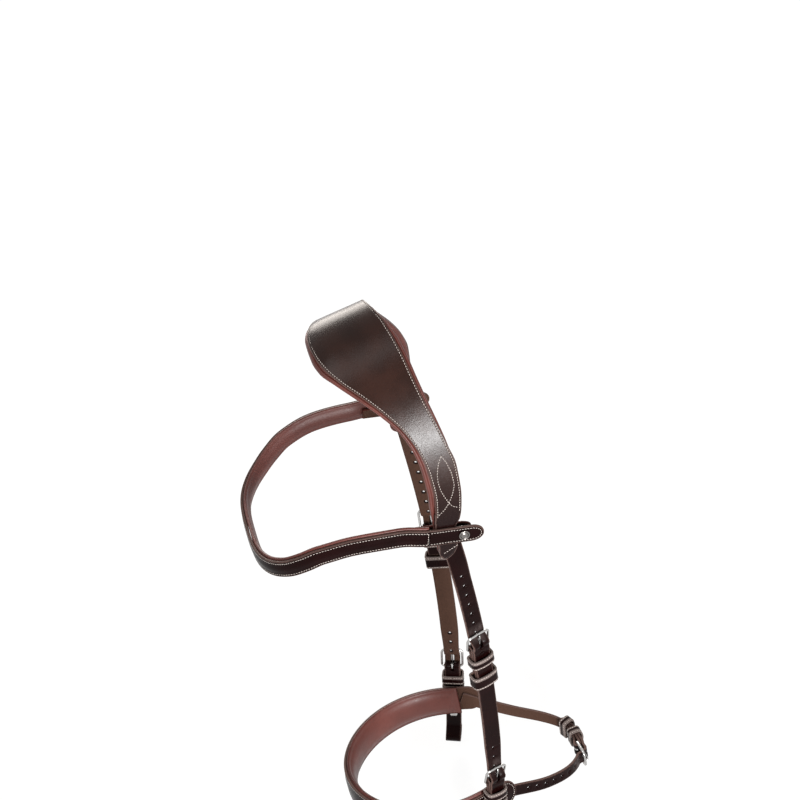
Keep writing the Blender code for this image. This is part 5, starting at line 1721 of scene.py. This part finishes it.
class BridleStudio(bpy.types.PropertyGroup):
    """Floor and lamps."""

    key_power: FloatProperty(name="Key", description="Power of the lamp overhead", default=12.0, unit="POWER")
    side_power: FloatProperty(
        name="Side", description="Power of the lamp beside the near cheek", default=32.0, unit="POWER",
    )
    back_power: FloatProperty(
        name="Back", description="Power of the lamp beyond the far cheek", default=27.0, unit="POWER",
    )
    sky: FloatProperty(name="Sky", description="Strength of the light all round", default=0.30, min=0.0)
    floor_drop: FloatProperty(
        name="Floor drop", description="Depth of the floor below the bridle", default=0.012, unit="LENGTH",
    )
    floor_radius: FloatProperty(
        name="Floor radius", description="Radius of the floor", default=6.0, unit="LENGTH",
    )


# Operators


def crown_pattern(table, edge, rings, trim):
    """The crown's flat pattern, which hangs from its middle as far as each rounded end."""
    rounded = CROWN.reach - CROWN.length(CROWN.low * (1 - CROWN_END_ROUND / CROWN_END_DROP))
    reach = CROWN.reach - STEP

    def edges(x):
        front, rear = CROWN.edges(table, x)
        trimmed = min(trim, (rear - front) / 4)
        return front + trimmed, rear - trimmed

    return Pattern(
        -reach, reach, edges, CROWN_STEP, edge=edge, rings=rings,
        inner=CROWN_INNER, fine=(rounded, rounded),
    )


class BRIDLE_OT_crown(bpy.types.Operator):
    """Cuts the shaped crown, pads its lining and sews both, with the pointed ovals above the browband"""

    bl_idname = "bridle.crown"
    bl_label = "Crown"

    def execute(self, context):
        hides = context.scene.bridle_hides
        pattern = crown_pattern(LEATHER_EDGE_SHARES, EDGE, CROWN_RINGS, LEATHER_TRIM)

        def lay(x, y, z):
            return CROWN.lay(x, y, CROWN_LEATHER_AT + z)

        leather_piece("crown_leather", pattern, lay, "crown")
        ends = [(x, *pattern.edges(x)) for x in pattern.places]
        front, rear = ([(row[0], row[n]) for row in ends] for n in (1, 2))
        reach = CROWN.length(0.0) - CROWN_ROWS_STOP
        rows = []
        for side in (LEFT, RIGHT):
            for edge, way in ((front, 1), (rear, -1)):
                line = inset_line(edge, way * hides.crown_inset)
                rows.append([spot for spot in line if 0.0 <= -side * spot[0] < reach])
            rows += [crown_row(side, smooth_line(arc)) for arc in (OVAL_REAR, OVAL_FRONT)]
        rows += [crown_row(side, END_ROW) for side in (LEFT, RIGHT)]
        sewn("crown_stitching", rows, lay)

        billet_top = CROWN.length(0.0) - BILLET_LAP

        def pad_lay(x, y, z):
            """Lays the lining under the crown, filled out to the leather as far as the billet's top."""
            thin = pad_thin(CROWN.turn(x))
            depth = CROWN_PAD_AT + (PAD_END_AT - CROWN_PAD_AT) * thin
            share = 1 + (CROWN_PAD_THIN / CROWN_PAD - 1) * thin
            if z > 0:
                room = -GAP / 2 - depth - CROWN_PAD / 2 * share
                filled = 1 - smooth_step(abs(x), billet_top - PAD_STEP_DOWN, billet_top)
                depth += room * filled * min(z / (CROWN_PAD / 2), 1.0)
            return CROWN.lay(x, y, depth + z * share)

        pattern = crown_pattern(PAD_EDGE_SHARES, CROWN_PAD_EDGE, CROWN_PAD_RINGS, PAD_TRIM)
        pad = leather_piece(
            "crown_padding", pattern, pad_lay, "lining", solid="crown_lining", thickness=CROWN_PAD,
            shape=pad_swell,
        )
        return {"FINISHED"}


def pad_swell(z, gap):
    """Rolls the lining's rim outside the leather, and fills it out on the side towards the horse."""
    if z > 0:
        return z + read_table(PAD_BEAD, gap)[0]
    return z - read_table(PAD_SWELL, gap)[0]


def band_swell(reach=1.0, gain=1.0):
    """The shape that fills a band's lining out on the side towards the horse."""
    return lambda z, gap: z - (read_table(BAND_SWELL, gap * reach)[0] * gain if z < 0 else 0.0)


def band_rise(height, start, end):
    """The shape that lifts the middle of a band's leather over its padding."""
    return lambda z, gap: z + (height * smooth_step(gap, start, end) if z > 0 else 0.0)


def crown_row(side, spots):
    """A flat row on the crown from heights above the browband's line and places across."""
    foot = CROWN.length(0.0)
    return [(-side * (foot - up), y) for up, y in spots]


def smooth_line(points):
    """A line through points, rounded between them."""
    points = np.array(points, float)
    lengths = run_lengths(points)
    count = max(FEWEST_STEPS, round(lengths[-1] / OVAL_ROW_STEP))
    line = read_line(points, lengths, np.linspace(0.0, lengths[-1], count + 1))
    for _ in range(OVAL_ROUNDS):
        line[1:-1] = (line[:-2] + line[1:-1] + line[2:]) / 3
    return line


class BRIDLE_OT_browband(bpy.types.Operator):
    """Lays the browband over its padded lining and sews both edges"""

    bl_idname = "bridle.browband"
    bl_label = "Browband"

    def execute(self, context):
        hides = context.scene.bridle_hides
        start, end = BROW_END, 2 * BROW.half - BROW_END

        def lift(x):
            near = min(x, 2 * BROW.half - x)
            return (TAB_AT - CROWN_LEATHER_AT) * (1 - smooth_step(near, BROW_END, BROW_END + BROW_RISE_RUN))

        lay = flat_lay(BROW.frame, lambda x: CROWN_LEATHER_AT + lift(x))
        pattern = Pattern(
            start, end, strap_edges(start, end, BROW_WIDTH / 2), BAND_STEP, rings=BAND_RINGS,
            inner=BAND_INNER, butted=(start, end),
        )
        leather_piece("browband_leather", pattern, lay, "band", shape=band_rise(*BROW_RISE))
        half = BROW_WIDTH / 2 - hides.band_inset
        along = stations(start + BAND_ROW_STOP, end - BAND_ROW_STOP, BAND_ROW_STEP)
        across = stations(-half, half, SHORT_ROW_STEP)
        rows = [[(x, way * half) for x in along] for way in (-1, 1)]
        rows += [[(x, y) for y in across] for x in (start + CROSS_ROW_STOP, end - CROSS_ROW_STOP)]
        sewn("browband_stitching", rows, lay)
        pad_lay = flat_lay(BROW.frame, lambda x: -GAP / 2 - BROW_PAD / 2 + lift(x))
        pattern = Pattern(
            start, end, strap_edges(start, end, BROW_PAD_WIDTH / 2), BAND_STEP, edge=BAND_PAD_EDGE,
            rings=BAND_PAD_RINGS, inner=BAND_INNER,
        )
        pad = leather_piece(
            "browband_padding", pattern, pad_lay, "lining", solid="browband_lining", thickness=BROW_PAD,
            shape=band_swell(),
        )
        return {"FINISHED"}


def tab_frame(length, side):
    """A frame on the tabs' straight run; the length grows towards the forehead, and is negative behind."""
    along = Vector((0.0, -1.0, TAB_FALL)).normalized()
    out = Vector((side, 0.0, 0.0))
    across = Vector((0.0, TAB_FALL, 1.0)).normalized()
    height = brow_height(BROW_END, BROW.half) + TAB_FALL * (length - BROW_END)
    return Frame(placed(CROWN_REACH, -length, height, side), along, across, out)


def snap_length():
    """Just clear of the crown's end, as the rear edge of its lining and the socket's rim allow."""
    rear = CROWN_WIDTH * read_table(PAD_EDGE_SHARES, 0.0)[1]
    return -(rear + GAP + SOCKET_RADIUS)


class BRIDLE_OT_tabs(bpy.types.Operator):
    """Makes the tabs that fold round the crown's ends, with their snap caps and studs"""

    bl_idname = "bridle.tabs"
    bl_label = "Tabs and snaps"

    def execute(self, context):
        hides = context.scene.bridle_hides
        snap = snap_length()
        half = BROW_WIDTH / 2
        start, end = snap - TAB_BEYOND_SNAP, BROW_END - GAP
        for word, side in SIDES:
            frame_of = functools.partial(tab_frame, side=side)
            pattern = Pattern(
                start, end, strap_edges(start, end, half, round_start=TAB_ROUND), STRAP_STEP, rings=TAB_RINGS,
                inner=holed_rows(half, TAB_RINGS), holes=[Hole(snap, SHANK_RADIUS + GAP / 2)],
                fine=(TAB_ROUND, 0.0), butted=(end,),
            )
            lay = flat_lay(frame_of, lambda x: TAB_AT)
            name, body = "browband_tab_" + word, "tab_" + word
            leather_piece(name, pattern, lay, "band", body)
            row = self.stitch_line(pattern, end, hides.band_inset)
            sewn(name + "_stitching", [row], lay, body=body)
            face, under = TAB_AT + LEATHER / 2 + GAP / 2, TAB_AT - LEATHER / 2 - GAP / 2
            mouth = under - SOCKET_HEIGHT
            rounded = mouth + SOCKET_ROUND
            profile = [
                (0.0, mouth + SOCKET_DEPTH), (SOCKET_BORE, mouth + SOCKET_DEPTH), (SOCKET_BORE, rounded),
                (SOCKET_BORE + SOCKET_FLARE, mouth), (SOCKET_RADIUS - SOCKET_ROUND, mouth),
                (SOCKET_RADIUS, rounded), (SOCKET_RADIUS, under), (SHANK_RADIUS, under), (SHANK_RADIUS, face),
                (CAP_RADIUS * SEAT_SHARE, face), *ringed_dome(CAP_RADIUS, face, CAP_HEIGHT),
            ]
            turned("snap_cap_" + word, profile, frame_of(snap), body, look="cap")
            self.under_tab(word, frame_of, snap, mouth)
        return {"FINISHED"}

    def stitch_line(self, pattern, end, inset):
        """The tab's row of stitches, from one side of its butted end, round the rear, to the other."""
        closed = inset_line(pattern.outline(), -inset, closed=True)
        line = [spot for spot in closed if spot[0] < end - inset - STEP]
        first = max(range(len(line)), key=lambda i: math.dist(line[i], line[i - 1]))
        line = line[first:] + line[:first]
        stop = end - TAB_ROW_STOP
        return [(stop, line[0][1]), *line, (stop, line[-1][1])]

    def under_tab(self, word, frame_of, snap, mouth):
        """The tab behind the crown, with the stud that the cap presses on to."""
        start = snap - TAB_BEYOND_SNAP + TAB_ROUND * UNDER_TAB_SHORT
        end = BROW_END + UNDER_TAB_LAP
        half = UNDER_TAB_WIDTH * UNDER_TAB_TRIM / 2
        pattern = Pattern(
            start, end, strap_edges(start, end, half, round_start=TAB_ROUND), STRAP_STEP, rings=STRAP_RINGS,
            inner=holed_rows(half, STRAP_RINGS), holes=[Hole(snap, STUD_NECK + GAP / 2)],
            fine=(TAB_ROUND, 0.0),
        )
        lay = flat_lay(frame_of, lambda x: UNDER_TAB_AT)
        leather_piece("browband_under_tab_" + word, pattern, lay, "under")
        inside, outside = UNDER_TAB_AT - LEATHER / 2 - GAP / 2, UNDER_TAB_AT + LEATHER / 2 + GAP / 2
        collar, ball = mouth - GAP, SOCKET_BORE - GAP
        top = mouth + SOCKET_DEPTH - GAP
        profile = [
            *((FLANGE_RADIUS * wide, inside - FLANGE_HEIGHT * deep) for wide, deep in FLANGE_SHARES),
            (FLANGE_RADIUS, inside), (STUD_NECK, inside), (STUD_NECK, outside), (COLLAR_RADIUS, outside),
            (COLLAR_RADIUS, collar), (ball, collar),
            *((ball * wide, top - ball * deep) for wide, deep in BALL_SHARES),
        ]
        turned("snap_stud_" + word, profile, frame_of(snap))


class BRIDLE_OT_cheeks(bpy.types.Operator):
    """Cuts the billets, cheek straps and bit straps and folds them round their buckles"""

    bl_idname = "bridle.cheeks"
    bl_label = "Cheek straps"

    def execute(self, context):
        for word, side in SIDES:
            make_billet(word, side)
            make_cheek_strap(word, side)
            make_bit_strap(word, side)
        return {"FINISHED"}


class BRIDLE_OT_buckles(bpy.types.Operator):
    """Bends the buckle frames and their tongues"""

    bl_idname = "bridle.buckles"
    bl_label = "Buckles"

    def execute(self, context):
        for word, side in SIDES:
            path = CheekPath(side)
            for kind, bar, width in (
                ("cheek", UPPER_BAR_DROP, BILLET_WIDTH), ("bit", LOWER_BAR_DROP, BIT_WIDTH),
            ):
                buckle = Buckle(path.frame, bar)
                make_buckle(f"{kind}_buckle_{word}", buckle, width)
                make_tongue(f"{kind}_tongue_{word}", buckle)
        buckle = Buckle(jaw_level, JAW_BAR)
        make_buckle("jaw_buckle", buckle, JAW_WIDTH)
        make_tongue("jaw_tongue", buckle)
        return {"FINISHED"}


class BRIDLE_OT_keepers(bpy.types.Operator):
    """Bends and sews the keepers and runners"""

    bl_idname = "bridle.keepers"
    bl_label = "Keepers"

    def execute(self, context):
        drops = cheek_drops()
        for word, side in SIDES:
            path = CheekPath(side)
            for kind, width, spare, length, rise in (
                ("cheek_keeper", CHEEK_WIDTH, KEEPER_SPARE, FIXED_KEEPER_LENGTH, KEEPER_RISE),
                ("cheek_runner", CHEEK_WIDTH, RUNNER_SPARE, RUNNER_LENGTH, RUNNER_RISE),
                ("bit_keeper", BIT_WIDTH, KEEPER_SPARE, FIXED_KEEPER_LENGTH, KEEPER_RISE),
                ("noseband_loop", BIT_WIDTH, KEEPER_SPARE, LOOP_LENGTH, KEEPER_RISE),
            ):
                make_keeper(f"{kind}_{word}", path.frame(drops[kind]), width / 2 + spare, length, rise)
        keeper_at = JAW_BAR + JAW_KEEPER_BELOW + JAW_KEEPER_LENGTH / 2
        runner_at = keeper_at + JAW_KEEPER_LENGTH + JAW_RUNNER_BELOW
        make_keeper("jaw_keeper", jaw_level(keeper_at), JAW_WIDTH / 2 + KEEPER_SPARE, JAW_KEEPER_LENGTH)
        make_keeper("jaw_runner", jaw_level(runner_at), JAW_WIDTH / 2 + RUNNER_SPARE, JAW_KEEPER_LENGTH)
        return {"FINISHED"}


class BRIDLE_OT_noseband(bpy.types.Operator):
    """Lays the noseband over its padded lining and sews it"""

    bl_idname = "bridle.noseband"
    bl_label = "Noseband"

    def execute(self, context):
        hides = context.scene.bridle_hides
        whole = 2 * NOSE.half

        def wide(x, extra=0.0):
            grown = smooth_step(min(x, whole - x), 0.0, NOSE.half)
            return (NOSE_WIDTH + extra + (NOSE_FRONT_WIDTH - NOSE_WIDTH) * grown) / 2

        lay = flat_lay(nose_level, lambda x: 0.0)
        start, end = -NOSE_TAIL, whole + NOSE_TAIL
        edges = strap_edges(
            start, end, NOSE_WIDTH / 2, narrow=wide, round_start=NOSE_TAIL_ROUND, round_end=NOSE_TAIL_ROUND,
        )
        pattern = Pattern(
            start, end, edges, BAND_STEP, rings=BAND_RINGS, inner=BAND_INNER,
            fine=(NOSE_TAIL_ROUND, NOSE_TAIL_ROUND),
        )
        leather_piece("noseband_leather", pattern, lay, "band", shape=band_rise(*NOSE_RISE))
        row = inset_line(pattern.outline(), -hides.band_inset, closed=True)
        sewn("noseband_stitching", [[*row, row[0]]], lay)
        extra = NOSE_PAD_WIDTH - NOSE_WIDTH
        start, end = -PAD_PAST_CHEEK, whole + PAD_PAST_CHEEK
        edges = strap_edges(start, end, NOSE_PAD_WIDTH / 2, narrow=lambda x: wide(x, extra))
        pattern = Pattern(
            start, end, edges, BAND_STEP, edge=NOSE_PAD_EDGE, rings=NOSE_PAD_RINGS, inner=BAND_INNER,
        )
        pad_lay = flat_lay(nose_level, lambda x: NOSE_PAD_AT - NOSE_LEATHER_AT)
        pad = leather_piece(
            "noseband_padding", pattern, pad_lay, "lining", solid="noseband_lining", thickness=NOSE_PAD,
            shape=band_swell(NOSE_SWELL_REACH, NOSE_SWELL_GAIN),
        )
        return {"FINISHED"}


class BRIDLE_OT_jaw(bpy.types.Operator):
    """Cuts the jaw strap with its holes and the short strap that carries its buckle"""

    bl_idname = "bridle.jaw"
    bl_label = "Jaw straps"

    def execute(self, context):
        course = Course(jaw_level, billet_knots(JAW_START, JAW_BAR, JAW_BAR + JAW_LAP))
        holes = row_of_holes(course, JAW_BAR, JAW_HOLES_ABOVE, 0, JAW_HOLE_PITCH)
        pattern = holed_strap(course, JAW_WIDTH, holes, tip=BILLET_TIP_LENGTH)
        bend = course.length_at(JAW_BAR - FRAME_LENGTH)
        leather_piece("jaw_strap", pattern, course.lay, "strap", bend=bend)
        end = 2 * JAW.half - JAW_START
        knots = fold_knots(JAW_BAR)
        knots += [(place, BILLET_AT) for place in stations(JAW_BAR + FOLD_RETURN / 2, end, KNOT_STEP)]
        course = Course(jaw_level, knots)
        pattern = holed_strap(course, JAW_WIDTH, [fold_slot(course, JAW_BAR)])
        leather_piece("jaw_buckle_strap", pattern, course.lay, "strap")
        return {"FINISHED"}


class BRIDLE_OT_studio(bpy.types.Operator):
    """Lays the pale floor and sets the soft lamps and the camera"""

    bl_idname = "bridle.studio"
    bl_label = "Studio"

    def execute(self, context):
        scene = context.scene
        studio = scene.bridle_studio
        scene.view_settings.view_transform = "Standard"
        foot = CAD_BOX[0][2]
        bm = bmesh.new()
        bmesh.ops.create_circle(
            bm, cap_ends=True, segments=FLOOR_SEGMENTS, radius=studio.floor_radius,
            matrix=Matrix.Translation((0.0, 0.0, foot - studio.floor_drop)),
        )
        mesh = bpy.data.meshes.new("floor")
        bm.to_mesh(mesh)
        bm.free()
        floor = bpy.data.objects.new("floor", mesh)
        scene.collection.objects.link(floor)
        mesh.materials.append(self.floor_finish())
        self.light_sky(scene, studio)
        self.lamp("key", *KEY_LAMP, studio.key_power)
        self.lamp("side", *SIDE_LAMP, studio.side_power)
        self.lamp("back", *BACK_LAMP, studio.back_power, BACK_TINT)
        self.camera(scene)
        return {"FINISHED"}

    def floor_finish(self):
        """Pale card, white to the camera, which keeps the bridle's shadow."""
        made = Finish("floor", roughness=0.9)
        tone = made.mix(made.noise(scale=6.0, detail=2.0), *FLOOR_TONES)
        made.join(made.shader.inputs["Base Color"], tone)
        glow = made.node("ShaderNodeEmission", Color=WHITE, Strength=FLOOR_BRIGHTNESS)
        away = made.node("ShaderNodeVectorMath", {"operation": "LENGTH"}, Vector=made.here())
        far = made.out(away, "Value").ramp(FLOOR_NEAR, FLOOR_FAR)
        both = made.node("ShaderNodeMixShader")
        made.join(both.inputs[0], seen_direct(made.tree) * (FLOOR_GLOW + far * (1.0 - FLOOR_GLOW)))
        made.join(both.inputs[1], made.out(made.shader, "BSDF"))
        made.join(both.inputs[2], made.out(glow, "Emission"))
        end = made.tree.nodes["Material Output"]
        made.join(end.inputs["Surface"], made.out(both, "Shader"))
        return made.material

    def light_sky(self, scene, studio):
        """White all round to the camera, and a dimmer light on the bridle."""
        world = bpy.data.worlds.new("studio")
        scene.world = world
        world.use_nodes = True
        tree = world.node_tree
        ground = tree.nodes["Background"]
        ground.inputs["Color"].default_value = (*WHITE, 1.0)
        strength = seen_direct(tree) * (1.0 - studio.sky) + studio.sky
        tree.links.new(strength.socket, ground.inputs["Strength"])

    def lamp(self, name, where, target, size, power, tint=WHITE):
        """A soft panel lamp at a place, facing another."""
        data = bpy.data.lights.new(name, "AREA")
        data.shape = "RECTANGLE"
        data.size, data.size_y = size
        data.energy, data.color = power, tint
        item = bpy.data.objects.new(name, data)
        item.location = where
        item.rotation_euler = (Vector(where) - Vector(target)).to_track_quat("Z", "Y").to_euler()
        bpy.context.scene.collection.objects.link(item)

    def camera(self, scene):
        """The photograph's camera: turned so that the browband's crossing falls on its own pixel."""
        azimuth, height, roll = map(math.radians, (VIEW_AZIMUTH_DEG, VIEW_HEIGHT_DEG, VIEW_ROLL_DEG))
        back = Vector((
            math.sin(azimuth) * math.cos(height), -math.cos(azimuth) * math.cos(height), math.sin(height),
        ))
        level = Vector((math.cos(azimuth), math.sin(azimuth), 0.0))
        up = back.cross(level)
        right = level * math.cos(roll) + up * math.sin(roll)
        upright = up * math.cos(roll) - level * math.sin(roll)
        data = bpy.data.cameras.new("camera")
        data.lens = VIEW_LENS_MM
        data.clip_start = CLIP_START
        camera = bpy.data.objects.new("camera", data)
        crossing = placed(CROWN_REACH, 0.0, 0.0)
        focal = VIEW_LENS_MM / data.sensor_width * PICTURE
        x = (BROW_CROSSING_PIXEL[0] - PICTURE / 2) / focal
        y = (PICTURE / 2 - BROW_CROSSING_PIXEL[1]) / focal
        turn = Matrix((right, upright, back)).transposed()
        sight = (turn @ Vector((x, y, -1.0))).normalized()
        turn = sight.rotation_difference(-back).to_matrix() @ turn
        camera.matrix_world = Matrix.Translation(crossing + back * VIEW_DISTANCE) @ turn.to_4x4()
        scene.collection.objects.link(camera)
        scene.camera = camera


class BRIDLE_PT_maker(bpy.types.Panel):
    """Lists the pieces to make and what can be changed about them"""

    bl_idname = "BRIDLE_PT_maker"
    bl_label = "Bridle"
    bl_space_type = "VIEW_3D"
    bl_region_type = "UI"
    bl_category = "Bridle"

    def draw(self, context):
        for group in ("bridle_hides", "bridle_sewing", "bridle_metal", "bridle_studio"):
            box = self.layout.box()
            settings = getattr(context.scene, group)
            for name in settings.bl_rna.properties.keys():
                if name not in ("rna_type", "name"):
                    box.prop(settings, name)
        for operator in OPERATORS:
            self.layout.operator(operator.bl_idname)


OPERATORS = (
    BRIDLE_OT_crown, BRIDLE_OT_browband, BRIDLE_OT_tabs, BRIDLE_OT_cheeks, BRIDLE_OT_buckles,
    BRIDLE_OT_keepers, BRIDLE_OT_noseband, BRIDLE_OT_jaw, BRIDLE_OT_studio,
)
GROUPS = (
    ("bridle_hides", BridleHides), ("bridle_sewing", BridleSewing), ("bridle_metal", BridleMetal),
    ("bridle_studio", BridleStudio),
)


def register():
    for name, group in GROUPS:
        bpy.utils.register_class(group)
        setattr(bpy.types.Scene, name, PointerProperty(type=group))
    for operator in OPERATORS:
        bpy.utils.register_class(operator)
    bpy.utils.register_class(BRIDLE_PT_maker)


def unregister():
    bpy.utils.unregister_class(BRIDLE_PT_maker)
    for operator in reversed(OPERATORS):
        bpy.utils.unregister_class(operator)
    for name, group in reversed(GROUPS):
        delattr(bpy.types.Scene, name)
        bpy.utils.unregister_class(group)


def main():
    register()
    bpy.ops.bridle.studio()
    bpy.ops.bridle.crown()
    bpy.ops.bridle.browband()
    bpy.ops.bridle.tabs()
    bpy.ops.bridle.cheeks()
    bpy.ops.bridle.buckles()
    bpy.ops.bridle.keepers()
    bpy.ops.bridle.noseband()
    bpy.ops.bridle.jaw()


if __name__ == "__main__":
    main()
